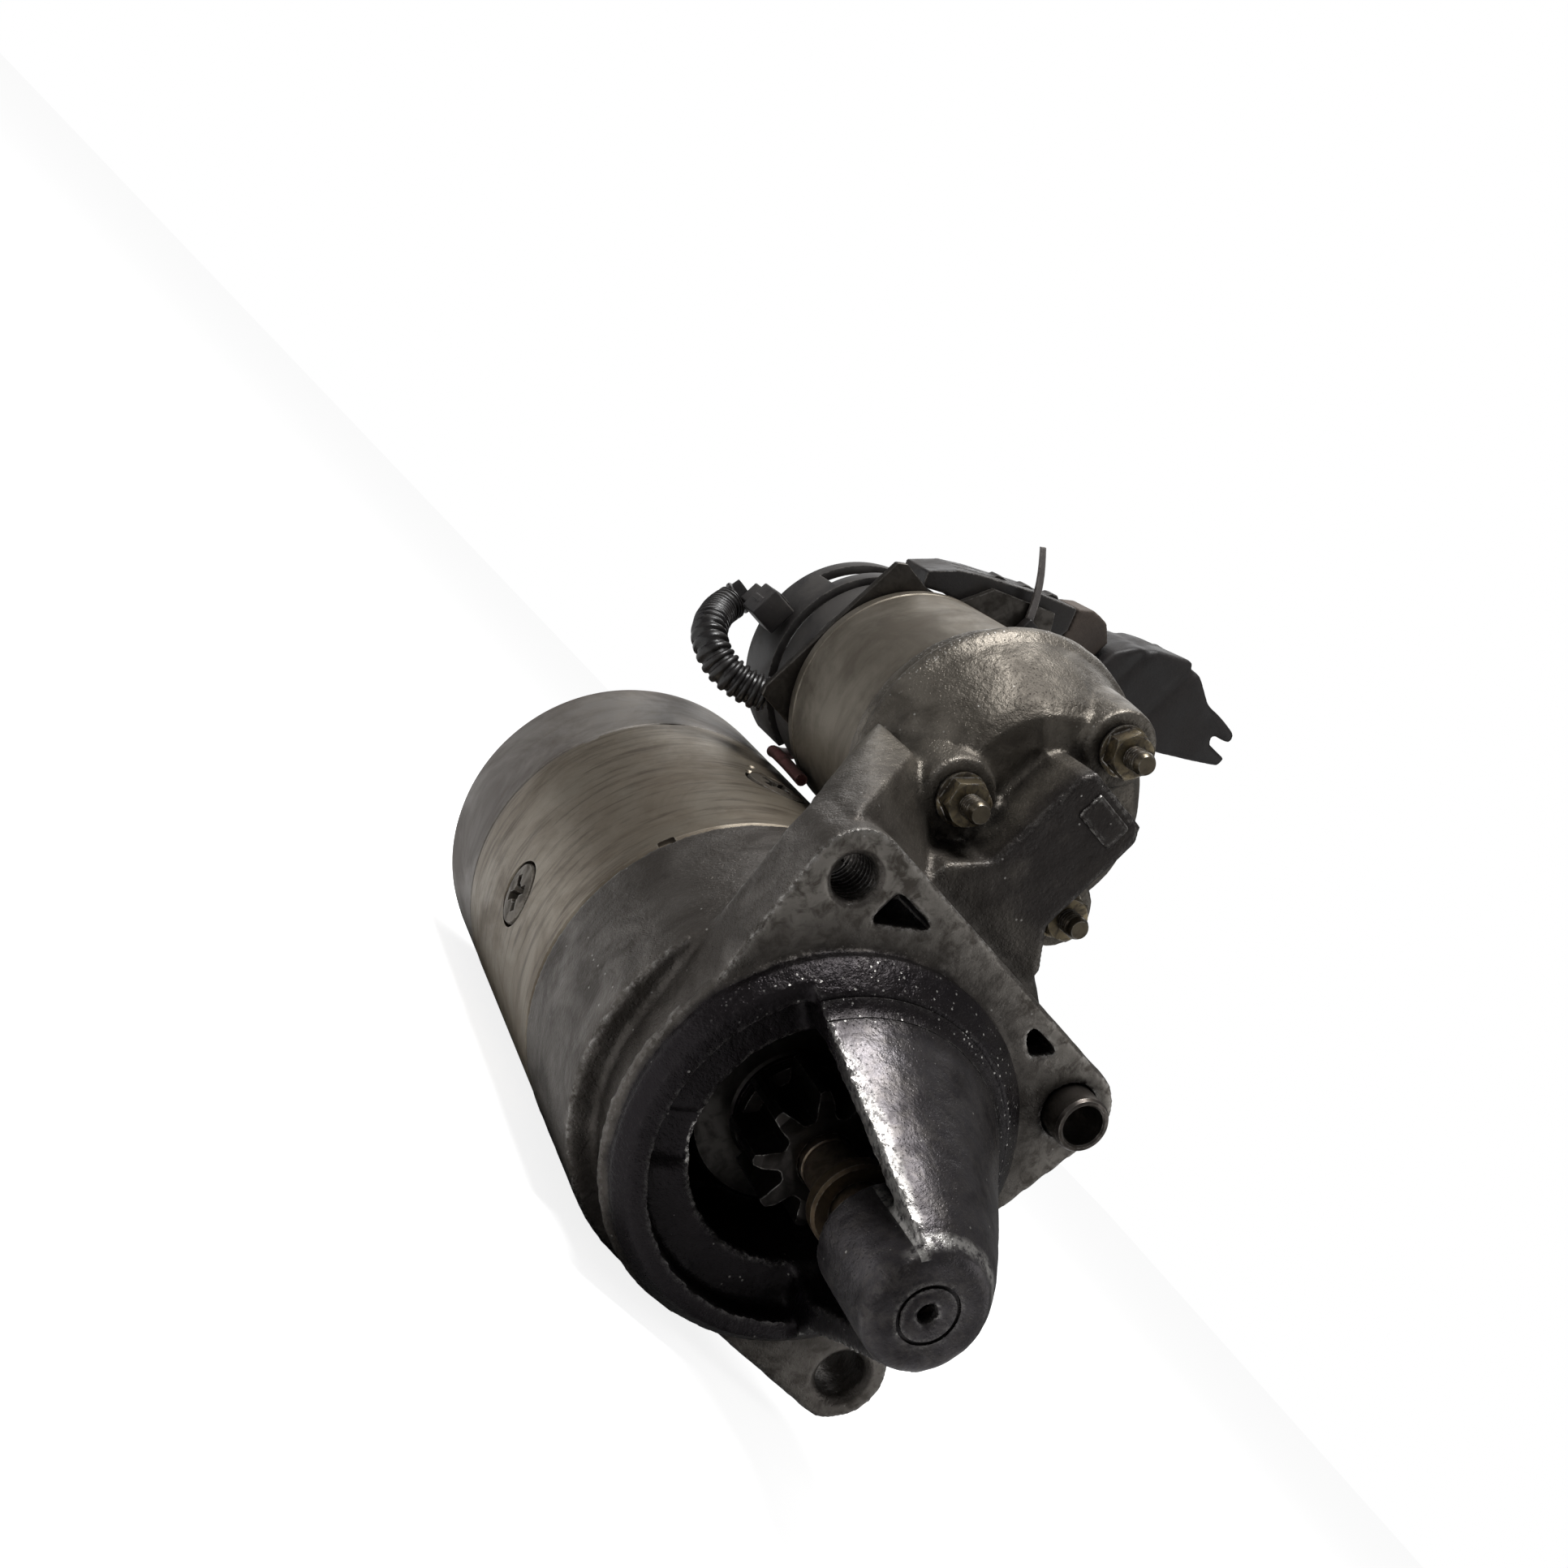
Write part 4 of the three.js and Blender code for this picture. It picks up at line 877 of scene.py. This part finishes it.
def seamNotch(y):
    piece = boxPiece("notch", yoke["radius"] - 1.1, yoke["radius"] + 1, y - 1.5, y + 1.5, -1.9, 1.9)
    softenEdges(piece, 0.5, 2)
    return turnAboutAxis(piece, yoke["notch"])


def makeYoke():
    r, inner, e, rear = yoke["radius"], yoke["inner"], yoke["edge"], yoke["rear"]
    piece = turnedPiece("yokeShell", [(inner, rear), (r - e, rear), (r, rear + e), (r, rear + 14),
                                      (r, rear + 28), (r, rear + 42), (r, rear + 56), (r, -e), (r - e, 0),
                                      (inner, 0), (inner, rear)], 0, 0, 192)
    recessR, recessFloor = yoke["recess"]
    for degrees in poleAngles:
        cutWith(piece, radialRod("recess", 0, 0, 0, yoke["screwY"], degrees, 96,
                                 [(0, recessFloor), (recessR, recessFloor), (recessR, 44.6),
                                  (recessR + 0.35, 45.1), (recessR + 0.35, 48), (0, 48)]))
        cutWith(piece, radialRod("screwHole", 4.4, 36, 44, yoke["screwY"], degrees, 48))
    for y in (rear, 0):
        cutWith(piece, seamNotch(y))
    for degrees, y in yoke["dimples"]:
        cutWith(piece, radialRod("dimple", 0, 0, 0, y, degrees, 32,
                                 [(0, 44.3), (0.8, 44.5), (1.7, 45.3), (1.7, 47), (0, 47)]))
    leadHole = rodPiece("leadHole", 3.5, 0, 12, 0, 0, 48)
    cutWith(piece, turnPiece(leadHole, "X", 90, end=yoke["leadSpot"]))
    return keepPiece(piece, "motor", "yoke", "yokeZinc", 30)


def makePoleScrew(index, degrees):
    rings = [(0, 33.6), (3.4, 33.6), (4.0, 34.2), (4.0, 42.75), (6.7, 42.75), (7.1, 43.1), (7.15, 44.2),
             (6.8, 44.85), (5.6, 45.12), (3.0, 45.2), (0, 45.2)]
    piece = turnedPiece("poleScrewHead%d" % index, rings, 0, 0, 96)
    arms = []
    for turn in (35, 125):
        arm = boxPiece("arm", -5.1, 5.1, 42.7, 46.5, -1.25, 1.25)
        editAll(arm)
        bpy.ops.mesh.select_mode(type="FACE")
        mesh = bmesh.from_edit_mesh(arm.data)
        for face in mesh.faces:
            face.select_set(face.normal.y < -0.9)
        bmesh.update_edit_mesh(arm.data)
        bpy.ops.transform.resize(value=(0.6, 1, 0.55), center_override=place(0, 42.9, 0))
        bpy.ops.object.mode_set(mode="OBJECT")
        arms.append(turnPiece(arm, "Y", turn))
    arms.append(turnedPiece("well", [(0, 42.2), (1.3, 42.2), (2.3, 45.3), (2.3, 47), (0, 47)], 0, 0, 32))
    for arm in arms:
        cutWith(piece, arm)
    layRadial(piece, yoke["screwY"])
    turnAboutAxis(piece, degrees)
    return keepPiece(piece, "motor", "pole_screw_%d" % index, "screwZinc", 28)


cover = {"radius": 44.9, "front": -70.3, "rear": -108.2, "wall": 41.3, "boss": 17.0}


def makeRearCover():
    r, rear, front = cover["radius"], cover["rear"], cover["front"]
    rings = [(0, -105.2), (8.3, -105.2), (8.3, -96), (14, -96), (14, -104.4), (39.4, -104.4),
             (41.3, -102.5), (cover["wall"], front), (r - 0.6, front), (r, front - 0.6), (r, -80),
             (r, -90), (r, -97), (r - 0.15, -100.2), (r - 0.8, -102.6), (r - 2.1, -105.2), (r - 3.9, -107),
             (r - 6.2, -107.95), (r - 8.5, rear), (30, rear), (18.6, rear), (17.5, rear - 0.35),
             (cover["boss"], rear - 1.0), (16.4, rear - 1.2), (6.2, rear - 1.2), (5.6, rear - 0.7),
             (0, rear - 0.7)]
    piece = turnedPiece("rearCoverShell", rings, 0, 0, 176)
    hole = [(0, -112), (3.6, -112), (3.6, -108), (2.9, -107.4), (2.9, -100), (0, -100)]
    pad = [(0, -110), (7.4, -110), (7.4, rear + 0.28), (0, rear + 0.28)]
    for x, z in boltSpots:
        cutWith(piece, turnedPiece("boltHole", hole, x, z, 48))
        cutWith(piece, turnedPiece("boltPad", pad, x, z, 64))
    return keepPiece(piece, "motor", "rear_cover", "coverCast", 30)


# hexagon of a nut or bolt head, its corners cut back by a cone, with an optional washer (radius, thickness)
def makeHex(name, radius, y0, y1, x, z, turn, washer=None, chamfer=0.9):
    piece = turnedPiece(name, [(0, y0), (radius, y0), (radius, y1), (0, y1)], x, z, 6)
    turnPiece(piece, "Y", turn, (x, 0, z), (x, 0, z))
    grow = 1 if y1 > y0 else -1
    barrelRings = [(0, y0 - grow * 0.5), (radius * 0.99, y0 - grow * 0.5), (radius * 1.01, y0 + grow * 0.2),
                   (radius * 1.02, y1 - grow * chamfer * 0.75), (radius * 0.86, y1 + grow * 0.02),
                   (0, y1 + grow * 0.02)]
    barrel = turnedPiece("barrel", barrelRings, x, z, 64)
    cutWith(piece, barrel, operation="INTERSECT")
    softenEdges(piece, 0.12, 2, 25)
    if washer:
        washerR, thick = washer
        rim = washerR - 0.15
        washerRings = [(0, y0), (rim, y0), (washerR, y0 + grow * 0.15),
                       (washerR, y0 + grow * (thick - 0.2)), (washerR - 0.4, y0 + grow * thick),
                       (0, y0 + grow * thick)]
        ring = turnedPiece("washer", washerRings, x, z, 64)
        piece = joinAll([piece, ring], name)
    return piece


def makeBolt(index, x, z):
    head = makeHex("throughBolt%d" % index, 4.6, -108.5, -112.1, x, z, 12 + 40 * index, (4.7, 0.7), 0.6)
    shank = rodPiece("shank", 2.5, -109, 6, x, z, 32)
    piece = joinAll([head, shank], "throughBoltHead%d" % index)
    return keepPiece(piece, "motor", "through_bolt_%d" % index, "boltSteel", 30)


makeYoke()
for screwIndex, screwAngle in enumerate(poleAngles, 1):
    makePoleScrew(screwIndex, screwAngle)
makeRearCover()
for boltIndex, (boltX, boltZ) in enumerate(boltSpots, 1):
    makeBolt(boltIndex, boltX, boltZ)
print("yoke and cover made")

case = {"radius": 29.65, "rear": -49.8, "front": -6.3, "studR": 2.5, "studTip": 37.6, "pitch": 0.8}


# shank with thread crests as rings at the pitch, and a chamfered tip
def threadedRod(name, radius, y0, yThread, y1, x, z, pitch):
    grow = 1 if y1 > y0 else -1
    rings = [(0, y0), (radius * 0.98, y0), (radius * 0.98, yThread)]
    y = yThread
    while (y1 - grow * 0.9 - y) * grow > pitch:
        rings += [(radius * 0.86, y + grow * pitch * 0.3), (radius, y + grow * pitch * 0.72),
                  (radius, y + grow * pitch * 0.86)]
        y += grow * pitch
    rings += [(radius * 0.9, y1 - grow * 0.5), (radius * 0.78, y1), (0, y1)]
    return turnedPiece(name, rings, x, z, 48)


def makeCase():
    r, rear, front = case["radius"], case["rear"], case["front"]
    rings = [(2.6, rear), (25.6, rear), (26.4, rear + 0.35), (27.3, rear + 0.5), (28.2, rear - 0.0),
             (29.3, rear + 0.15), (r, rear + 0.8), (r, rear + 3.4), (r - 0.25, rear + 3.7),
             (r - 0.25, rear + 4.3), (r, rear + 4.6), (r, -38), (r, -30), (r, -22), (r, -14), (r, front),
             (29.2, front), (29.2, 2.6), (10, 2.6), (10, -1.2), (26.6, -1.2), (26.6, -47.6), (12.8, -47.6),
             (12.8, -31), (6, -31), (6, -44.5), (2.6, -44.5), (2.6, rear)]
    piece = turnedPiece("solenoidShell", rings, 0, solenoidHeight, 160)
    for number, (x, z) in enumerate(studSpots, 1):
        stud = threadedRod("solenoidStud%d" % number, case["studR"], 2.7, 27, case["studTip"], x, z,
                           case["pitch"])
        keepPiece(stud, "motor", "solenoid_case", "studZinc", 30)
    return keepPiece(piece, "motor", "solenoid_case", "caseZinc", 30)


def makeNut(index, x, z):
    turns = (14, 33, 50)
    piece = makeHex("solenoidNut%d" % index, 5.25, 27.8, 32.4, x, z, turns[index - 1], (5.6, 0.9))
    return keepPiece(piece, "motor", "solenoid_nut_%d" % index, "nutZinc", 30)


capSize = {"radius": 27.0, "rear": -70.0, "front": -53.3}


def makeCap():
    r, rear, front = capSize["radius"], capSize["rear"], capSize["front"]
    rings = [(0, -66), (23.5, -66), (23.5, front), (r - 0.3, front), (r, front - 0.3), (r, -56),
             (r - 0.5, -56.3), (r - 0.5, -57.4), (r, -57.7), (r, rear + 2.0), (r - 0.6, rear + 0.6),
             (r - 1.8, rear), (21, rear), (20.4, rear + 0.5), (9.5, rear + 0.5), (8.8, rear), (0, rear)]
    piece = turnedPiece("solenoidCapShell", rings, 0, solenoidHeight, 128)
    for x in (12, -12):
        cutWith(piece, rodPiece("terminalHole", 4.3, -80, -60, x, solenoidHeight, 48))
    return keepPiece(piece, "motor", "solenoid_cap", "capPlastic", 32)


coverShell = {"inner": 26.0, "outer": 28.15, "rear": -88.0, "front": -70.3,
              "openSide": [(8, 44), (-40, 44), (-40, 110), (-22, 110)]}


# hull over an outline of (x, z) corners, from y0 to y1
def wedgePiece(name, corners, y0, y1):
    shape = bmesh.new()
    for y in (y0, y1):
        for x, z in corners:
            shape.verts.new(place(x, y, z))
    bmesh.ops.convex_hull(shape, input=shape.verts)
    wedge = bpy.data.objects.new(name, bpy.data.meshes.new(name))
    shape.to_mesh(wedge.data)
    shape.free()
    bpy.context.scene.collection.objects.link(wedge)
    return wedge


def makeTerminalCover():
    inner, outer, rear, front = (coverShell[k] for k in ("inner", "outer", "rear", "front"))
    rings = [(inner, rear), (outer - 0.5, rear), (outer, rear + 0.5), (outer, -82), (outer, -76),
             (outer, front), (inner, front), (inner, rear)]
    piece = turnedPiece("terminalCoverShell", rings, 0, solenoidHeight, 128)
    cutWith(piece, wedgePiece("openSide", coverShell["openSide"], -89, -69))
    slotBox = boxPiece("slot", 15, 32, -83, -75, -4, 14)
    cutWith(piece, turnPiece(slotBox, "Y", -28, end=(0, 0, solenoidHeight)))
    softenEdges(piece, 0.3, 2, 40)
    return keepPiece(piece, "motor", "terminal_cover", "capPlastic", 32)


terminalSizes = {"battery": (12, -83.8, 7.0), "motor": (-12, -79.8, 6.6)}


def makeTerminal(which):
    x, tip, nutR = terminalSizes[which]
    shank = threadedRod("shank", 4.0, -64, -70, tip, x, solenoidHeight, 1.25)
    head = turnedPiece("head", [(0, -62.2), (6.0, -62.2), (6.5, -62.7), (6.5, -65.7), (0, -65.7)], x,
                       solenoidHeight, 48)
    nut = makeHex("nut", nutR, -70.3, -76.6, x, solenoidHeight, 20, (nutR, 1.0))
    piece = joinAll([shank, head, nut], which + "TerminalStud")
    return keepPiece(piece, "motor", which + "_terminal", "copper", 30)


makeCase()
for nutIndex, (nutX, nutZ) in enumerate(studSpots, 1):
    makeNut(nutIndex, nutX, nutZ)
makeCap()
makeTerminalCover()
makeTerminal("battery")
makeTerminal("motor")
print("solenoid made")

shaftRings = [(0, -104.6), (4.2, -104.6), (5, -103.8), (5, -94.5), (7, -94.5), (7, 6), (5.5, 8), (5.5, 40),
              (5.5, 61.5), (5.25, 61.8), (5.25, 62.6), (5.5, 62.9), (5.5, 86.4), (5, 87), (5, 103),
              (4.4, 103.6), (0, 103.6)]
stopRings = [(5.75, 73.6), (8.5, 73.6), (9, 74.0), (9, 76.4), (8.4, 77), (5.75, 77), (5.75, 73.6)]
clutchRings = [(5.8, 21.9), (19.2, 21.9), (20.6, 22.3), (21.4, 23.2), (21.4, 30), (21.0, 30.4),
               (21.0, 31.2), (21.4, 31.6), (21.4, 38.2), (21.0, 39.2), (20.0, 40.0), (13, 40.4),
               (12.4, 40.8), (12.4, 41.9), (5.8, 41.9), (5.8, 21.9)]
dowelRings = [(4.3, 46.6), (5.3, 46.6), (5.85, 47.4), (5.85, 60.2), (5.45, 60.85), (5.1, 61.0),
              (4.75, 61.0), (4.35, 60.6), (4.3, 60.0), (4.3, 46.6)]


def makePinion():
    piece = copyNode("pinion", "pinionGear")
    softenEdges(piece, 0.28, 2, 24)
    return keepPiece(piece, "pinion", "pinion", "pinionSteelShaded", 24)


def makeLeverPin():
    rings = [(0, -16.6), (2.6, -16.6), (2.98, -16.2), (2.98, 16.2), (2.6, 16.6), (0, 16.6)]
    piece = turnedPiece("leverPinRod", rings, 0, 0, 48)
    turnPiece(piece, "Z", -90, end=(0, 33, 46))
    return keepPiece(piece, "motor", "lever_pin", "dowelSteel", 30)


keepPiece(turnedPiece("armatureShaftRod", shaftRings, 0, 0, 96), "armature", "armature_shaft",
          "shaftSteel", 30)
keepPiece(turnedPiece("stopRingTurned", stopRings, 0, 0, 64), "armature", "stop_ring", "bronze",
          30)
keepPiece(turnedPiece("clutchShellTurned", clutchRings, 0, 0, 128), "drive", "clutch_shell",
          "driveSteel", 30)
keepPiece(turnedPiece("dowelTube", dowelRings, *housing["dowelLug"], 96), "motor", "dowel_bush",
          "dowelSteel", 30)
makePinion()
makeLeverPin()
print("drive made")

conduitSize = {"rootR": 3.75, "crestR": 4.5, "pitch": 2.3, "route": [(23.5, -57.5, 55.2), (29, -60, 52.8),
                                                                     (35.5, -63, 52), (40.2, -67.5, 54),
                                                                     (40.4, -74, 57), (38.4, -81, 59.2),
                                                                     (36, -88, 62), (33.6, -92.6, 66),
                                                                     (33, -92.4, 70.4)]}


def routeCurve(name, points):
    clearSelection()
    bpy.ops.curve.primitive_bezier_curve_add(location=(0, 0, 0))
    curve = bpy.context.object
    curve.name = name
    spline = curve.data.splines[0]
    spline.bezier_points.add(len(points) - 2)
    for handle, point in zip(spline.bezier_points, points):
        handle.handle_left_type = handle.handle_right_type = "AUTO"
        handle.co = place(*point)
    curve.data.dimensions = "3D"
    curve.data.resolution_u = 24
    return curve


def makeConduit():
    curve = routeCurve("conduitRoute", conduitSize["route"])
    length = sum(s.calc_length() for s in curve.data.splines) / mm
    rings = [(0, 0), (conduitSize["rootR"], 0)]
    y, pitch = 0.0, conduitSize["pitch"]
    while y + pitch < length:
        rings += [(conduitSize["rootR"], y + pitch * 0.18),
                  (conduitSize["crestR"] - 0.12, y + pitch * 0.34),
                  (conduitSize["crestR"], y + pitch * 0.44), (conduitSize["crestR"], y + pitch * 0.68),
                  (conduitSize["crestR"] - 0.12, y + pitch * 0.78),
                  (conduitSize["rootR"], y + pitch * 0.94)]
        y += pitch
    rings += [(conduitSize["rootR"], length), (0, length)]
    piece = turnedPiece("conduitTube", rings, 0, 0, 40)
    piece.data.transform(Matrix.Translation(-place(0, 0, 0)))
    applyModifier(piece, "CURVE", object=curve, deform_axis="POS_Y")
    bpy.data.objects.remove(curve)
    return keepPiece(piece, "motor", "conduit", "conduitPlastic", 50)


leadSize = {"radius": 1.5, "route": [(12, -36.2, 46.9), (12, -46, 47.2), (11, -58, 47.3), (7, -67, 47.4),
                                     (1, -72.8, 49.8), (-6, -74.6, 58), (-12, -75, 69.4)]}


def makeLead():
    curve = routeCurve("fieldLeadSleeve", leadSize["route"])
    curve.data.bevel_depth = leadSize["radius"] * mm
    curve.data.bevel_resolution = 5
    curve.data.use_fill_caps = True
    pick(curve)
    bpy.ops.object.convert(target="MESH")
    piece = bpy.context.object
    applyPlace(piece)
    editAll(piece)
    bpy.ops.mesh.remove_doubles(threshold=0.000002)
    bpy.ops.mesh.normals_make_consistent(inside=False)
    bpy.ops.object.mode_set(mode="OBJECT")
    return keepPiece(piece, "motor", "field_lead", "redSleeve", 50)


bootSize = {"voxel": 0.7, "smoothing": 14, "crease": 0.9}


def makeBoot():
    piece = copyNode("terminal_boot", "terminalBootShell")
    applyModifier(piece, "REMESH", mode="VOXEL", voxel_size=bootSize["voxel"] * mm)
    applyModifier(piece, "SMOOTH", factor=0.5, iterations=bootSize["smoothing"])
    # soft shell: the sides draw in a little and two folds run across it
    low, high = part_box("terminal_boot")
    mid = (low + high) / 2
    for v in piece.data.vertices:
        along = (v.co.x - low.x) / (high.x - low.x)
        across = (v.co.y - mid.y) / (high.y - low.y) * 2
        body = min(1.0, max(0.0, (along - 0.18) / 0.1))
        fold = math.exp(-((along - 0.62 + across * 0.05) / 0.035) ** 2) + 0.7 * math.exp(
            -((along - 0.86) / 0.03) ** 2)
        squeeze = 1 - body * (0.05 + 0.07 * fold)
        v.co.y = mid.y + (v.co.y - mid.y) * squeeze * (1 - 0.22 * max(0.0, 0.35 - along))
        v.co.z -= bootSize["crease"] * mm * fold * body * (0.5 + (v.co.z - mid.z) / (high.z - low.z))
    return keepPiece(piece, "motor", "terminal_boot", "bootRubber", 0)


guideSize = {"voxel": 0.45, "smoothing": 4, "slope": 29.5,
             "grooves": ((-62.6, 0.5), (-57.4, 0.5), (-55.6, 0.35))}


def makeGuide():
    piece = softCopy("harness_guide", "harnessGuideTrough", guideSize["voxel"], guideSize["smoothing"])
    for y, half in guideSize["grooves"]:
        slab = boxPiece("groove", -16, 22, y - half, y + half, -0.9, 1.4)
        turnPiece(slab, "Y", guideSize["slope"], (1, 0, 0), (1, 0, 118.6))
        cutWith(piece, slab, solver="MANIFOLD")
    return keepPiece(piece, "motor", "harness_guide", "guidePlastic", 35)


def makeBracket():
    piece = copyNode("harness_bracket", "harnessBracketPlate")
    softenEdges(piece, 0.35, 3, 35)
    return keepPiece(piece, "motor", "harness_bracket", "plateSteel", 30)


def makeConnector():
    piece = copyNode("connector", "connectorBody")
    softenEdges(piece, 0.5, 3, 35)
    latch = boxPiece("latch", 31.2, 34.6, -78.4, -72.2, 74.1, 74.9)
    rib = boxPiece("rib", 36.7, 37.2, -77.8, -72.4, 69.4, 71.0)
    for extra in (latch, rib):
        softenEdges(extra, 0.22, 2)
    piece = joinAll([piece, latch, rib], "connectorBody")
    return keepPiece(piece, "motor", "connector", "connectorPlastic", 30)


tieSize = {"lock": (-9.2, -4.6, -50.7, -47.4, 110.4, 114.8), "foot": (-6.4, 113.5), "tip": (6.3, 128.2),
           "half": (1.05, 0.5)}


def makeTie():
    lock = boxPiece("cableTieLock", *tieSize["lock"])
    softenEdges(lock, 0.5, 3)
    keepPiece(lock, "motor", "cable_tie", "guidePlastic", 30)
    (fx, fz), (tx, tz) = tieSize["foot"], tieSize["tip"]
    wide, thin = tieSize["half"]
    reach = math.hypot(tx - fx, tz - fz)
    tail = boxPiece("cableTieTail", 0, reach, -50.1 - thin, -50.1 + thin, -wide, wide)
    editAll(tail)
    bpy.ops.mesh.subdivide(number_cuts=8)
    bpy.ops.object.mode_set(mode="OBJECT")
    start = place(0, 0, 0)
    for v in tail.data.vertices:
        along = (v.co.x - start.x) / (reach * mm)
        v.co.z = start.z + (v.co.z - start.z) * (1 - 0.35 * along) + 1.1 * mm * math.sin(math.pi * along)
    turnPiece(tail, "Y", -math.degrees(math.atan2(tz - fz, tx - fx)), end=(fx, 0, fz))
    softenEdges(tail, 0.15, 2, 50)
    keepPiece(tail, "motor", None, "tiePlastic", 30)


makeConduit()
makeLead()
makeBoot()
makeGuide()
makeConnector()
makeBracket()
keepPiece(softCopy("cable_lug", "cableLugBlock", 0.5, 6), "motor", "cable_lug",
          "lugPlastic", 0)
makeTie()
print("harness made")

# nodes that keep their own mesh and only take a material
kept = {"nose_bush": "bronze", "rear_bush": "bronze", "brush_plate": "plateSteel",
        "solenoid_coil": "enamelCopper", "armature_core": "coreIron", "armature_windings": "enamelCopper",
        "commutator": "copper", "drive_collar": "collarPlastic", "shift_lever": "collarPlastic",
        "plunger": "shaftSteel", "return_spring": "springSteel", "contact_rod": "copper"}
for number in range(1, 5):
    kept.update({"pole_shoe_%d" % number: "coreIron", "field_coil_%d" % number: "enamelCopper",
                 "brush_%d" % number: "carbon", "brush_spring_%d" % number: "springSteel"})
for nodeName, materialName in kept.items():
    slots = cadNodes[nodeName].data.materials
    for slotIndex in range(len(slots)):
        slots[slotIndex] = materials[materialName]
    if not slots:
        slots.append(materials[materialName])
print("kept nodes finished")
